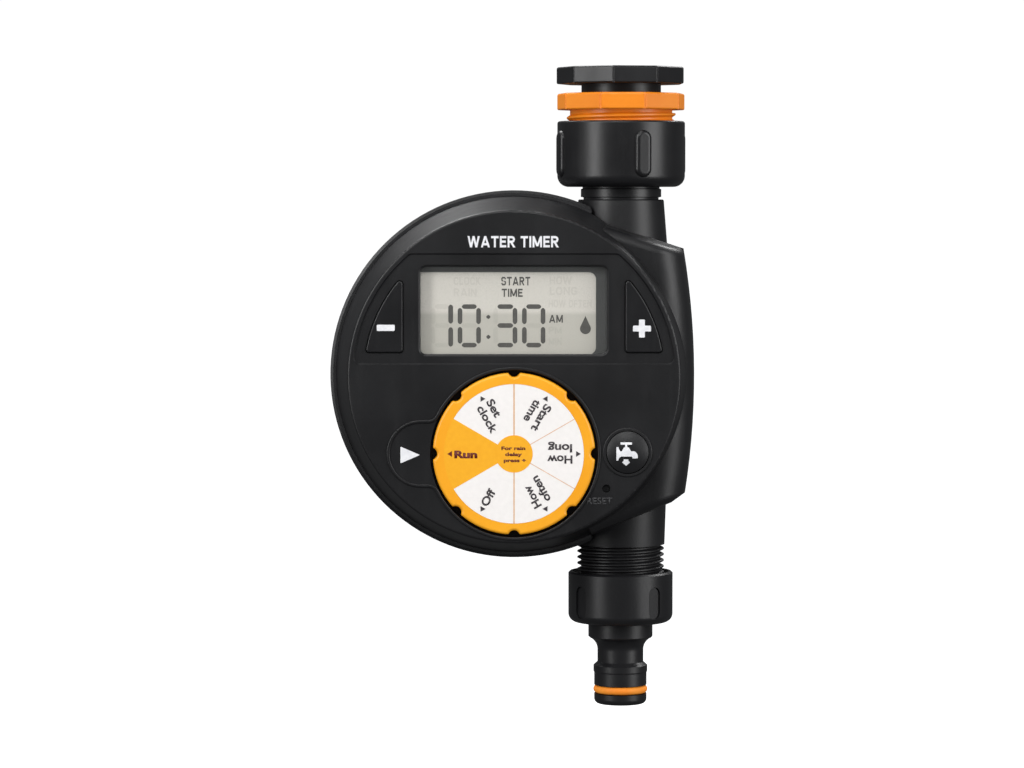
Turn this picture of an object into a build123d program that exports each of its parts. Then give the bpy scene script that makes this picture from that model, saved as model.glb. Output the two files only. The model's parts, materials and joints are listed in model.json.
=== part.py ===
from build123d import *
import os
from math import cos, radians, sin, sqrt, tan

os.makedirs("parts", exist_ok=True)

# A battery hose-tap timer for drip irrigation. Millimetres, +Z up, the face looks along -Y.
# The origin is on the water axis, at the mouth of the inlet thread.

# ---- driving dimensions: casing ---------------------------------------------------------
DISC_X, DISC_Z = -32.5, -92.6      # centre of the round casing
FACE_Y = -30.0                     # front face
SPLIT_Y = -11.5                    # joint between the front and rear shells
BLOCK_Y = -24.0                    # front of the valve-side block, set back from the face
BACK_Y = 22.0                      # back face
RIM_R = 55.4                       # rear shell at the joint
BEZEL_R = 53.6                     # front shell at the joint
WALL = 2.4
FACE_WALL = 3.0
REAR_DRAFT = 2.0                   # degrees
BLOCK_DRAFT = 6.0
BACK_ROUND = 4.5
BLOCK_ROUND, BLOCK_END_ROUND = 9.5, 3.0
ROOM_STEP = 4.5                    # depth at which the room inside the block starts to narrow
TRIM_X = 21.3                      # the disc is cut off here, inside the block
RIM_SLOPE, RIM_SLOPE_DEPTH = 1.7, 0.8
PANEL_DEPTH, PANEL_SLOPE = 0.5, 38.0           # display panel sunk below the face
PANEL_TOP, PANEL_LOW, PANEL_R = -56.3, -88.5, 47.6

# ---- driving dimensions: controls -------------------------------------------------------
DIAL_X, DIAL_Z = -32.5, -115.35
DIAL_R = 24.1
DIAL_FRONT_Y, DIAL_BACK_Y = -30.6, -25.4
NOTCHES, NOTCH_R, NOTCH_OUT = 8, 1.75, 0.45
LABEL_R, LABEL_T = 20.7, 0.3
WELL_R, WELL_WALL, WELL_FLOOR = 24.9, 1.6, 2.0
WELL_Y = -24.6                     # front of the dial well's floor
LIP_W, LIP_H, LIP_ROUND = 0.9, 0.45, 0.3
LOBE_X, LOBE_R = -60.3, 9.1
KEY_IN, KEY_OUT_R, KEY_LOW = 33.0, 44.6, 7.3   # from the disc centre
KEY_GAP, KEY_FLANGE, KEY_BACK = 0.25, 1.0, -26.0
MANUAL_X, MANUAL_Z, MANUAL_R = 1.2, -114.9, 6.2
RESET_X, RESET_Z, RESET_R = -5.1, -125.7, 1.2
WINDOW = (-60.2, -5.0, -85.8, -59.9)           # x and z limits of the display opening
LCD = (-62.2, -7.9, -86.2, -61.4)
BOARD_FRONT, BOARD_BACK, BOARD_R = -19.6, -18.0, 45.5
SWITCH_TOP = -22.6

# ---- driving dimensions: water path -----------------------------------------------------
G12_BORE, INLET_DEPTH = 10.5, 12.8  # G1/2 inlet thread, major radius and depth to the washer's seat
WASHER_SEAT_R = 10.8
G34_ROOT, G34_CREST, G34_PITCH, G34_BORE = 12.06, 13.2, 1.814, 13.45
G1_ROOT, G1_CREST, G1_PITCH, G1_BORE = 15.5, 16.5, 2.309, 16.85
SMALL_LOW, SMALL_FLANGE = -17.0, 5.1
LARGE_TOP, LARGE_FLANGE, LARGE_LOW = -7.9, 5.0, -24.1
REDUCER_R, FACETS, CORNER_R, GROOVE_R = 19.7, 9, 1.2, 0.4
SMALL_TURN, LARGE_TURN = 21.7, 10.0
NUT_TOP, NUT_LOW, NUT_R, NUT_LIP = -16.3, -36.2, 19.35, 3.2
TUBE_TOP, TUBE_IN_R, WATER_R = -40.0, 12.5, 8.5
OUTLET_LOW, THREAD_TOP = -162.5, -144.8
CONNECTOR_TOP, CONNECTOR_LOW, CONNECTOR_R = -153.1, -168.6, 15.9
TIP_Z, NIPPLE_R, NIPPLE_BORE = -193.7, 8.0, 5.0
RING_Z, RING_MAJOR, RING_MINOR = -189.2, 7.05, 1.2
VALVE_Z = -113.5                   # axis of the solenoid valve, along -X
FLANGE_X, DIAPHRAGM_T, FLANGE_HALF = -16.0, 1.2, 15.4
SEAT_X, SEAT_R, SEAT_BORE = -13.0, 7.5, 5.5
GUIDE_R, PLUNGER_R = 4.5, 3.5

# ---- driving dimensions: battery --------------------------------------------------------
CELL_R, CELL_L, CELL_Y = 7.25, 50.5, 9.7
CELL_Z = (-73.0, -89.0)
TRAY = (-71.0, -15.0, -96.6, -65.4)            # inside of the tray
TRAY_WALL, TRAY_FRONT, TRAY_BACK = 1.2, 1.0, 17.4
DOOR = (-72.3, -13.7, -98.4, -63.0)
DOOR_OPENING = (-70.5, -15.5, -96.5, -65.5)
RECESS_Y, DOOR_Y0, DOOR_Y1 = 19.8, 19.9, 21.9
HINGE_Y, HINGE_Z, KNUCKLE_R = 20.85, -99.6, 1.05
KNUCKLES = (-66.0, -20.0)          # knuckle centres along X
KNUCKLE_L, PIN_L, PIN_R = 8.0, 1.6, 0.6


# ---- helpers ----------------------------------------------------------------------------
def front_plane(y):
    """Plane facing the user at depth y; its local axes are X and Z."""
    return Plane.XZ.offset(-y)


def side_plane(x):
    """Plane facing +X at x; its local axes are Y and Z."""
    return Plane.YZ.offset(x)


def polar(radius, angle, x=DISC_X, z=DISC_Z):
    """Point at an angle (degrees from +X towards +Z) about a centre on the face."""
    return (x + radius * cos(radians(angle)), z + radius * sin(radians(angle)))


def box_xz(limits, corner=0.0, mode=Mode.ADD):
    """Rectangle given by its x and z limits, in a sketch that faces the user."""
    x0, x1, z0, z1 = limits
    with Locations(((x0 + x1) / 2, (z0 + z1) / 2)):
        if corner:
            RectangleRounded(x1 - x0, z1 - z0, corner, mode=mode)
        else:
            Rectangle(x1 - x0, z1 - z0, mode=mode)


def grown(limits, by):
    x0, x1, z0, z1 = limits
    return (x0 - by, x1 + by, z0 - by, z1 + by)


def slab(limits, y0, y1, corner=0.0, mode=Mode.ADD):
    """Prism over an x-z rectangle, from depth y0 (front) to y1 (back)."""
    with BuildSketch(front_plane(y1)) as profile:
        box_xz(limits, corner)
    extrude(profile.sketch, amount=y1 - y0, mode=mode)


def peg(x, z, radius, y0, y1, mode=Mode.ADD):
    """Round peg or hole along Y."""
    with BuildSketch(front_plane(y1)) as profile:
        with Locations((x, z)):
            Circle(radius)
    extrude(profile.sketch, amount=y1 - y0, mode=mode)


def rod_x(y, z, radius, x0, x1, mode=Mode.ADD):
    """Round rod or hole along X."""
    with BuildSketch(side_plane(x0)) as profile:
        with Locations((y, z)):
            Circle(radius)
    extrude(profile.sketch, amount=x1 - x0, mode=mode)


def column(radius, z0, z1, mode=Mode.ADD):
    """Round column or bore on the water axis."""
    with BuildSketch(Plane.XY.offset(z0)) as profile:
        Circle(radius)
    extrude(profile.sketch, amount=z1 - z0, mode=mode)


def ring(outer, inner, z0, z1):
    """Flat ring on the water axis."""
    with BuildSketch(Plane.XY.offset(z0)) as profile:
        Circle(outer)
        Circle(inner, mode=Mode.SUBTRACT)
    extrude(profile.sketch, amount=z1 - z0)


def thread(root, crest, pitch, z0, z1, lead=0.0):
    """Helical ridge of a right-hand pipe thread, trimmed to the length z0..z1. Lead lowers its start."""
    embed = 0.3
    start = z0 - pitch / 2 - lead
    with BuildLine():
        path = Helix(pitch, z1 + pitch / 2 - start, root, center=(0, 0, start))
    with BuildSketch(Plane(origin=path @ 0, x_dir=(1, 0, 0), z_dir=path % 0)) as profile:
        with BuildLine():
            Polyline(
                (-embed, -0.48 * pitch),
                (crest - root, -0.1 * pitch),
                (crest - root, 0.1 * pitch),
                (-embed, 0.48 * pitch),
                close=True,
            )
        make_face()
    sweep(profile.sketch, path=path, is_frenet=True)
    column(crest + 1, z1, z1 + 2 * pitch, mode=Mode.SUBTRACT)
    column(crest + 1, z0 - 2 * pitch, z0, mode=Mode.SUBTRACT)


def wire_coil(start, radius, pitch, length, wire_r):
    """Helical wire spring that runs from a point along +X."""
    with BuildLine() as centre_line:
        Helix(pitch, length, radius, center=start, direction=(1, 0, 0))
    path = centre_line.edges()[0]
    with BuildSketch(Plane(origin=path @ 0, z_dir=path % 0)) as profile:
        Circle(wire_r)
    sweep(profile.sketch, path=path, is_frenet=True)


def wire(points, bend, wire_r):
    """Insulated lead through points, with round bends."""
    with BuildLine() as centre_line:
        FilletPolyline(*points, radius=bend)
    path = centre_line.wires()[0]
    with BuildSketch(Plane(origin=path @ 0, z_dir=path % 0)) as profile:
        Circle(wire_r)
    sweep(profile.sketch, path=path)


def block_outline():
    """Edge of the valve-side block; its left part lies inside the disc."""
    top_corner, low_corner = (18.5, -54.7), (19.1, -128.3)
    with BuildLine() as edge:
        Polyline(low_corner, (15.0, -131.3), (-9.0, -141.2), (-30.0, -120.0), (-30.0, -60.0),
                 (-5.0, -47.0), top_corner)
        ThreePointArc(top_corner, (21.8, -93.3), low_corner)
    make_face(edge.edges())


def disc_outline(radius):
    """Circle of the casing, cut off straight on the valve side."""
    with BuildSketch(Plane.XY, mode=Mode.PRIVATE) as outline:
        with Locations((DISC_X, DISC_Z)):
            Circle(radius)
        box_xz((DISC_X - 2 * radius, TRIM_X, DISC_Z - radius, DISC_Z + radius), mode=Mode.INTERSECT)
    add(outline.sketch_local)


def rear_outline(inset):
    """Outline of the rear shell, disc and block together, moved inwards."""
    with BuildSketch(Plane.XY, mode=Mode.PRIVATE) as outline:
        disc_outline(RIM_R)
        block_outline()
        if inset:
            offset(amount=-inset)
    add(outline.sketch_local)


def rim_band(outer_inset, inner_inset):
    """Narrow band that follows the joint between the shells."""
    with BuildSketch(Plane.XY, mode=Mode.PRIVATE) as inner:
        rear_outline(inner_inset)
    rear_outline(outer_inset)
    add(inner.sketch_local, mode=Mode.SUBTRACT)


def key_outline(side):
    """Three-sided key: straight towards the display, round towards the rim."""
    top = (side * KEY_IN, sqrt(KEY_OUT_R**2 - KEY_IN**2))
    low = (side * sqrt(KEY_OUT_R**2 - KEY_LOW**2), KEY_LOW)
    middle = polar(KEY_OUT_R, 25, 0, 0)
    inner = (side * KEY_IN, KEY_LOW)
    with BuildSketch(Plane.XY, mode=Mode.PRIVATE) as outline:
        with BuildLine():
            Polyline(top, inner, low)
            ThreePointArc(low, (side * middle[0], middle[1]), top)
        make_face()
        fillet(outline.vertices(), 0.9)
    with Locations((DISC_X, DISC_Z)):
        add(outline.sketch_local)


def keyhole_outline(grow):
    """Dial circle joined to the pointer's lobe, grown all round."""
    blend = 3.5
    with BuildSketch(Plane.XY, mode=Mode.PRIVATE) as outline:
        with Locations((DIAL_X, DIAL_Z)):
            Circle(WELL_R)
        with Locations((LOBE_X, DIAL_Z)):
            Circle(LOBE_R)
        with Locations(((LOBE_X + DIAL_X) / 2, DIAL_Z)):
            Rectangle(DIAL_X - LOBE_X, 2 * LOBE_R)
        necks = outline.vertices().filter_by(lambda v: DIAL_X - WELL_R < v.X < DIAL_X - 10)
        fillet(necks, blend)
        if grow:
            offset(amount=grow)
    add(outline.sketch_local)


SCREWS = [polar(48.7, a) for a in (72, 118, 165, 205, 238, 272)] + [(16.3, -66.0), (15.9, -119.0)]
BOSS_R, BOSS_Y = 2.8, -17.0        # front of the short screw bosses in the front shell
SCREW_R, SCREW_HEAD_R, SCREW_HEAD_H, SCREW_SINK = 1.4, 2.2, 2.0, 5.0
BOARD_SCREWS = [(-50.0, -55.2), (-15.0, -55.2), (-66.0, -115.0), (-0.8, -97.0)]
BOARD_BOSS_R, BOARD_SCREW_R = 2.3, 0.9

# ---- casing -----------------------------------------------------------------------------
bezel_depth = SPLIT_Y - FACE_Y
bezel_draft = 12.8
with BuildPart() as block_room:
    with BuildSketch(front_plane(SPLIT_Y)):
        block_outline()
        offset(amount=-WALL)
    extrude(amount=ROOM_STEP, taper=BLOCK_DRAFT)
    with BuildSketch(front_plane(SPLIT_Y - ROOM_STEP)):
        block_outline()
        offset(amount=-WALL - ROOM_STEP * tan(radians(BLOCK_DRAFT)))
    extrude(amount=SPLIT_Y - BLOCK_Y - WALL - ROOM_STEP, taper=45)

with BuildPart() as front_case:
    with BuildSketch(front_plane(SPLIT_Y)):
        block_outline()
    extrude(amount=SPLIT_Y - BLOCK_Y, taper=BLOCK_DRAFT)
    block_front = front_case.faces().sort_by(Axis.Y)[0]
    fillet(block_front.edges().filter_by(lambda e: e.center().X > 16 and e.length > 30), BLOCK_ROUND)
    block_front = front_case.faces().sort_by(Axis.Y)[0]
    short_edges = block_front.edges().filter_by(lambda e: e.center().X > -12 and 3 < e.length < 30)
    fillet(short_edges, BLOCK_END_ROUND)
    with BuildSketch(front_plane(SPLIT_Y)):
        with Locations((DISC_X, DISC_Z)):
            Circle(BEZEL_R)
    extrude(amount=bezel_depth, taper=bezel_draft)
    face_rim = front_case.faces().sort_by(Axis.Y)[0].edges()
    fillet(face_rim, 0.8)
    # Hollow inside of the block and of the disc.
    add(block_room.part, mode=Mode.SUBTRACT)
    with BuildSketch(front_plane(SPLIT_Y)):
        with Locations((DISC_X, DISC_Z)):
            Circle(BEZEL_R - WALL)
    extrude(amount=bezel_depth - FACE_WALL, taper=bezel_draft, mode=Mode.SUBTRACT)
    # Dial well, with its floor, and the bosses.
    peg(DIAL_X, DIAL_Z, WELL_R + WELL_WALL, FACE_Y + 1, WELL_Y + WELL_FLOOR)
    for x, z in SCREWS:
        peg(x, z, BOSS_R, BOSS_Y, SPLIT_Y)
    for x, z in BOARD_SCREWS:
        peg(x, z, BOARD_BOSS_R, FACE_Y + 1, BOARD_FRONT)
    # Raised lips round the dial and the manual button.
    with BuildSketch(front_plane(FACE_Y + 0.5)):
        keyhole_outline(LIP_W)
        with Locations((MANUAL_X, MANUAL_Z)):
            Circle(MANUAL_R + KEY_GAP + 0.9)
    extrude(amount=LIP_H + 0.5)
    with BuildSketch(front_plane(FACE_Y)):
        keyhole_outline(0)
    extrude(amount=LIP_H + 1, mode=Mode.SUBTRACT)
    lip_top = FACE_Y - LIP_H
    fillet(front_case.edges().filter_by_position(Axis.Y, lip_top - 0.01, lip_top + 0.01), LIP_ROUND)
    # Sunk display panel.
    with BuildSketch(front_plane(FACE_Y + PANEL_DEPTH)) as panel:
        with Locations((DISC_X, DISC_Z)):
            Circle(PANEL_R)
        box_xz((DISC_X - 60, DISC_X + 60, PANEL_LOW, PANEL_TOP), mode=Mode.INTERSECT)
        fillet(panel.vertices(), 1.6)
    extrude(amount=1, taper=-PANEL_SLOPE, mode=Mode.SUBTRACT)
    # Openings in the face.
    slab(grown(WINDOW, 0.05), FACE_Y - 1, FACE_Y + FACE_WALL + 0.5, 1.7, Mode.SUBTRACT)
    with BuildSketch(front_plane(FACE_Y + 2 * PANEL_DEPTH)):
        box_xz(WINDOW, 1.7)
    extrude(amount=1.8, taper=-50, mode=Mode.SUBTRACT)
    for side in (-1, 1):
        with BuildSketch(front_plane(FACE_Y + FACE_WALL + 0.5)):
            key_outline(side)
            offset(amount=KEY_GAP)
        extrude(amount=6, mode=Mode.SUBTRACT)
    peg(DIAL_X, DIAL_Z, WELL_R, FACE_Y - 1, WELL_Y, Mode.SUBTRACT)
    peg(DIAL_X, DIAL_Z, 4.05, WELL_Y - 1, WELL_Y + 1.6, Mode.SUBTRACT)
    peg(DIAL_X, DIAL_Z, 2.5, WELL_Y - 1, WELL_Y + WELL_FLOOR, Mode.SUBTRACT)
    peg(MANUAL_X, MANUAL_Z, MANUAL_R + KEY_GAP, FACE_Y - 1, FACE_Y + FACE_WALL + 0.5, Mode.SUBTRACT)
    peg(RESET_X, RESET_Z, RESET_R, FACE_Y - 1, FACE_Y + FACE_WALL + 0.5, Mode.SUBTRACT)
    for x, z in SCREWS:
        peg(x, z, SCREW_R + 0.05, BOSS_Y - 1, SPLIT_Y, Mode.SUBTRACT)
    for x, z in BOARD_SCREWS:
        peg(x, z, BOARD_SCREW_R + 0.05, FACE_Y + FACE_WALL + 1, BOARD_FRONT, Mode.SUBTRACT)
    # Holes for the inlet and outlet tubes.
    column(14.4, -70, -42, mode=Mode.SUBTRACT)
    column(14.1, -150, -124, mode=Mode.SUBTRACT)
front_case.part.label = "front_case"

rear_depth = BACK_Y - SPLIT_Y
HINGE_PIN_ROOM = 0.15
with BuildPart() as rear_disc:
    with BuildSketch(front_plane(SPLIT_Y)):
        disc_outline(RIM_R)
    extrude(amount=-rear_depth, taper=REAR_DRAFT)
    back_rim = rear_disc.faces().sort_by(Axis.Y)[-1].edges().filter_by(GeomType.CIRCLE)
    fillet(back_rim, BACK_ROUND)
    front_rim = rear_disc.faces().sort_by(Axis.Y)[0]
    chamfer(front_rim.edges().filter_by(GeomType.CIRCLE), RIM_SLOPE, RIM_SLOPE_DEPTH, reference=front_rim)

with BuildPart() as rear_case:
    with BuildSketch(front_plane(SPLIT_Y)):
        block_outline()
    extrude(amount=-rear_depth, taper=REAR_DRAFT)
    block_back = rear_case.faces().sort_by(Axis.Y)[-1]
    fillet(block_back.edges().filter_by(lambda e: e.center().X > -12), BACK_ROUND)
    add(rear_disc.part)
    with BuildSketch(front_plane(SPLIT_Y)):
        rear_outline(WALL)
    extrude(amount=WALL - rear_depth, taper=REAR_DRAFT, mode=Mode.SUBTRACT)
    # Frame round the battery opening, screw pillars and the cradles of the valve body.
    slab(grown(DOOR, 2.2), TRAY_BACK, BACK_Y - 1)
    slab((DOOR[0] - 2.2, DOOR[1] + 2.2, HINGE_Z - 3.2, DOOR[2]), TRAY_BACK, BACK_Y - 1)
    for x, z in SCREWS:
        peg(x, z, BOSS_R, SPLIT_Y, BACK_Y - 1)
    for z in (-72.0, -92.0):
        slab((-9.0, 9.0, z, z + 2), 9.0, BACK_Y - 1)
    column(TUBE_IN_R + 0.1, -95, -65, mode=Mode.SUBTRACT)
    for x, z in SCREWS:
        peg(x, z, SCREW_R + 0.15, SPLIT_Y, BACK_Y, Mode.SUBTRACT)
        peg(x, z, SCREW_HEAD_R + 0.2, BACK_Y - SCREW_SINK, BACK_Y + 1, Mode.SUBTRACT)
    # Battery opening, the recess of its door, the gasket groove and the hinge sockets.
    slab(DOOR_OPENING, TRAY_BACK, BACK_Y + 1, 2.0, Mode.SUBTRACT)
    slab((DOOR[0] - 0.3, DOOR[1] + 0.3, HINGE_Z - 1.7, DOOR[3] + 0.3), RECESS_Y, BACK_Y + 1, 2.0,
         Mode.SUBTRACT)
    with BuildSketch(front_plane(RECESS_Y)):
        box_xz(grown(DOOR_OPENING, 1.7), 3.0)
        with BuildSketch(Plane.XY, mode=Mode.PRIVATE) as groove_inner:
            box_xz(grown(DOOR_OPENING, 0.7), 2.4)
        add(groove_inner.sketch_local, mode=Mode.SUBTRACT)
    extrude(amount=0.6, mode=Mode.SUBTRACT)
    for x in KNUCKLES:
        half = KNUCKLE_L / 2
        rod_x(HINGE_Y, HINGE_Z, KNUCKLE_R + 0.25, x - half - 0.2, x + half + 0.2, Mode.SUBTRACT)
    for x in KNUCKLES:
        with Locations((x, RECESS_Y + 0.9, HINGE_Z - 1.4)):
            for side in (-1, 1):
                with Locations((side * (KNUCKLE_L / 2 + 1.3), 0, 0)):
                    Box(2.0, 2.2, 4.2, align=(Align.CENTER, Align.CENTER, Align.CENTER))
        reach = KNUCKLE_L / 2 + PIN_L + 0.2
        rod_x(HINGE_Y, HINGE_Z, PIN_R + HINGE_PIN_ROOM, x - reach, x + reach, Mode.SUBTRACT)
    # Groove of the joint gasket in the front edge.
    with BuildSketch(front_plane(SPLIT_Y)):
        rim_band(0.9, 1.8)
    extrude(amount=-1.0, mode=Mode.SUBTRACT)
    column(14.4, -70, -42, mode=Mode.SUBTRACT)
    column(14.1, -150, -124, mode=Mode.SUBTRACT)
rear_case.part.label = "rear_case"

with BuildPart() as case_gasket:
    with BuildSketch(front_plane(SPLIT_Y)):
        rim_band(0.95, 1.75)
    extrude(amount=-0.95)
    column(14.7, -150, -40, mode=Mode.SUBTRACT)
case_gasket.part.label = "case_gasket"

with BuildPart() as case_screws:
    for x, z in SCREWS:
        head_y = BACK_Y - SCREW_SINK
        peg(x, z, SCREW_R, BOSS_Y + 0.5, head_y)
        peg(x, z, SCREW_HEAD_R, head_y, head_y + SCREW_HEAD_H)
        peg(x, z, 0.8, head_y + SCREW_HEAD_H - 1.2, head_y + SCREW_HEAD_H, Mode.SUBTRACT)
case_screws.part.label = "case_screws"

# ---- display ----------------------------------------------------------------------------
with BuildPart() as display_window:
    slab(grown(WINDOW, -0.05), FACE_Y + 1.2, FACE_Y + FACE_WALL, 1.6)
    slab(grown(WINDOW, 1.2), FACE_Y + FACE_WALL, FACE_Y + FACE_WALL + 0.7, 2.0)
display_window.part.label = "display_window"

LCD_Y0, LCD_Y1 = -26.0, -24.2
with BuildPart() as lcd_panel:
    slab(LCD, LCD_Y0, LCD_Y1)
lcd_panel.part.label = "lcd_panel"

with BuildPart() as lcd_frame:
    slab((-63.4, -3.6, -87.2, -59.0), LCD_Y0 - 0.25, BOARD_FRONT)
    slab(grown(LCD, 0.05), LCD_Y0 - 0.05, BOARD_FRONT, mode=Mode.SUBTRACT)
    with BuildSketch(front_plane(LCD_Y0 - 0.05)):
        with Locations(((LCD[0] + LCD[1]) / 2, (LCD[2] + LCD[3]) / 2)):
            RectangleRounded(LCD[1] - LCD[0] - 0.5, LCD[3] - LCD[2] - 0.3, 2.2)
    extrude(amount=1, mode=Mode.SUBTRACT)
lcd_frame.part.label = "lcd_frame"

with BuildPart() as lcd_connectors:
    for z in (-63.4, -84.4):
        slab((-58.0, -12.0, z - 1.1, z + 1.1), LCD_Y1, BOARD_FRONT)
lcd_connectors.part.label = "lcd_connectors"

# ---- circuit board ----------------------------------------------------------------------
with BuildPart() as circuit_board:
    peg(DISC_X, DISC_Z, BOARD_R, BOARD_FRONT, BOARD_BACK)
    for x, z in BOARD_SCREWS:
        peg(x, z, BOARD_SCREW_R + 0.3, BOARD_FRONT, BOARD_BACK, Mode.SUBTRACT)
circuit_board.part.label = "circuit_board"

with BuildPart() as board_components:
    slab((-44, -32, -84, -72), BOARD_BACK, BOARD_BACK + 1.6)           # controller
    slab((-60, -53, -82, -76), BOARD_BACK, BOARD_BACK + 1.8)           # driver
    slab((-26, -18, -72, -69), BOARD_BACK, BOARD_BACK + 3.0, 1.4)      # crystal
    for x in (-62, -56):
        peg(x, -98, 2.5, BOARD_BACK, BOARD_BACK + 7.0)                 # capacitors
    for x in (-30, -26.5, -23, -19.5):
        slab((x - 0.8, x + 0.8, -80, -77), BOARD_BACK, BOARD_BACK + 0.8)
board_components.part.label = "board_components"

with BuildPart() as board_screws:
    for x, z in BOARD_SCREWS:
        peg(x, z, BOARD_SCREW_R, BOARD_FRONT - 5, BOARD_BACK)
        peg(x, z, 2.0, BOARD_BACK, BOARD_BACK + 1.4)
        peg(x, z, 0.6, BOARD_BACK + 0.6, BOARD_BACK + 1.4, Mode.SUBTRACT)
board_screws.part.label = "board_screws"

KEY_CENTRE = 37.0                  # switches under the minus and plus keys
with BuildPart() as tact_switches:
    spots = [(DISC_X - KEY_CENTRE, -79.5), (DISC_X + KEY_CENTRE, -79.5), (MANUAL_X, MANUAL_Z)]
    for x, z in spots:
        slab((x - 3, x + 3, z - 3, z + 3), SWITCH_TOP, BOARD_FRONT)
        peg(x, z, 1.7, SWITCH_TOP - 1.3, SWITCH_TOP)
    slab((RESET_X - 1.8, RESET_X + 1.8, RESET_Z - 1.8, RESET_Z + 1.8), SWITCH_TOP, BOARD_FRONT)
    peg(RESET_X, RESET_Z, 1.0, SWITCH_TOP - 1.3, SWITCH_TOP)
tact_switches.part.label = "tact_switches"

SEAL_Y0, SEAL_Y1 = -24.8, -24.2
with BuildPart() as button_seals:
    for side in (-1, 1):
        with BuildSketch(front_plane(SEAL_Y1)):
            key_outline(side)
            offset(amount=1.1)
        extrude(amount=SEAL_Y1 - SEAL_Y0)
    slab((MANUAL_X - 3.5, MANUAL_X + 5.5, MANUAL_Z - 6.5, MANUAL_Z + 6.5), SEAL_Y0, SEAL_Y1, 2.0)
button_seals.part.label = "button_seals"

# ---- push buttons -----------------------------------------------------------------------
for side, key_name in ((-1, "minus_button"), (1, "plus_button")):
    with BuildPart() as key:
        with BuildSketch(front_plane(KEY_BACK)):
            key_outline(side)
            offset(amount=KEY_FLANGE)
        extrude(amount=0.9)
        with BuildSketch(front_plane(KEY_BACK)):
            key_outline(side)
        extrude(amount=KEY_BACK - FACE_Y + 0.1)
        fillet(key.faces().sort_by(Axis.Y)[0].edges(), 0.4)
    key.part.label = key_name
    export_step(key.part, f"parts/{key_name}.step")

DOME_H = 1.5                       # crown of the manual button above the face
dome_r = (MANUAL_R**2 + (DOME_H - 0.3) ** 2) / (2 * (DOME_H - 0.3))
with BuildPart() as manual_button:
    peg(MANUAL_X, MANUAL_Z, MANUAL_R, FACE_Y - 2 * DOME_H, KEY_BACK)
    slab((MANUAL_X - 2.5, MANUAL_X + 2.5, MANUAL_Z - 7.6, MANUAL_Z + 7.6), KEY_BACK - 0.9, KEY_BACK)
    with Locations((MANUAL_X, FACE_Y - DOME_H + dome_r, MANUAL_Z)):
        Sphere(dome_r, mode=Mode.INTERSECT)
manual_button.part.label = "manual_button"

with BuildPart() as reset_plunger:
    peg(RESET_X, RESET_Z, RESET_R - 0.15, FACE_Y + 1.3, SWITCH_TOP - 1.9)
    peg(RESET_X, RESET_Z, 2.0, KEY_BACK - 0.9, KEY_BACK - 0.2)
reset_plunger.part.label = "reset_plunger"

# ---- dial -------------------------------------------------------------------------------
SHAFT_R = 2.15
with BuildPart() as dial:
    with BuildSketch(Plane.XY, mode=Mode.PRIVATE) as dial_edge:
        Circle(DIAL_R)
        with PolarLocations(DIAL_R + NOTCH_OUT, NOTCHES):
            Circle(NOTCH_R, mode=Mode.SUBTRACT)
        fillet(dial_edge.vertices().filter_by(lambda v: Vector(v.X, v.Y).length > DIAL_R - 0.1), 0.6)
    with BuildSketch(front_plane(DIAL_BACK_Y)):
        with Locations((DIAL_X, DIAL_Z)):
            add(dial_edge.sketch_local)
    extrude(amount=DIAL_BACK_Y - DIAL_FRONT_Y)
    fillet(dial.faces().sort_by(Axis.Y)[0].edges(), 0.9)
    with BuildSketch(front_plane(DIAL_BACK_Y)):
        with Locations((DIAL_X, DIAL_Z)):
            Circle(DIAL_R - 3.2)
            Circle(4.5, mode=Mode.SUBTRACT)
            with PolarLocations(0, 6):
                with Locations((DIAL_R / 2, 0)):
                    Rectangle(DIAL_R, 1.0, mode=Mode.SUBTRACT)
    extrude(amount=3.0, mode=Mode.SUBTRACT)
    peg(DIAL_X, DIAL_Z, LABEL_R + 0.05, DIAL_FRONT_Y - 1, DIAL_FRONT_Y + LABEL_T, Mode.SUBTRACT)
    peg(DIAL_X, DIAL_Z, SHAFT_R + 0.02, DIAL_BACK_Y - 3.4, DIAL_BACK_Y + 1, Mode.SUBTRACT)
dial.part.label = "dial"

with BuildPart() as dial_label:
    peg(DIAL_X, DIAL_Z, LABEL_R, DIAL_FRONT_Y, DIAL_FRONT_Y + LABEL_T)
dial_label.part.label = "dial_label"

with BuildPart() as dial_shaft:
    peg(DIAL_X, DIAL_Z, SHAFT_R, DIAL_BACK_Y - 3.4, BOARD_FRONT - 0.8)
    peg(DIAL_X, DIAL_Z, 5.0, BOARD_FRONT - 2.0, BOARD_FRONT - 0.8)
dial_shaft.part.label = "dial_shaft"

with BuildPart() as shaft_seal:
    with BuildSketch(front_plane(WELL_Y + 1.6)):
        with Locations((DIAL_X, DIAL_Z)):
            Circle(4.0)
            Circle(SHAFT_R + 0.1, mode=Mode.SUBTRACT)
    extrude(amount=1.5)
    fillet(shaft_seal.edges().filter_by(GeomType.CIRCLE), 0.5)
shaft_seal.part.label = "shaft_seal"

with BuildPart() as rotary_switch:
    slab((DIAL_X - 7, DIAL_X + 7, DIAL_Z - 7, DIAL_Z + 7), BOARD_FRONT - 2.8, BOARD_FRONT, 1.5)
    peg(DIAL_X, DIAL_Z, SHAFT_R + 0.25, BOARD_FRONT - 3, BOARD_FRONT, Mode.SUBTRACT)
    peg(DIAL_X, DIAL_Z, 5.3, BOARD_FRONT - 2.2, BOARD_FRONT - 0.5, Mode.SUBTRACT)
rotary_switch.part.label = "rotary_switch"

# ---- battery compartment ----------------------------------------------------------------
with BuildPart() as battery_tray:
    slab(grown(TRAY, TRAY_WALL), TRAY_FRONT, TRAY_BACK, 1.5)
    slab(TRAY, TRAY_FRONT + TRAY_WALL, TRAY_BACK, 1.0, Mode.SUBTRACT)
    middle_z = sum(CELL_Z) / 2
    slab((TRAY[0], TRAY[1], middle_z - 0.6, middle_z + 0.6), TRAY_FRONT + TRAY_WALL, 6.0)
battery_tray.part.label = "battery_tray"

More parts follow.
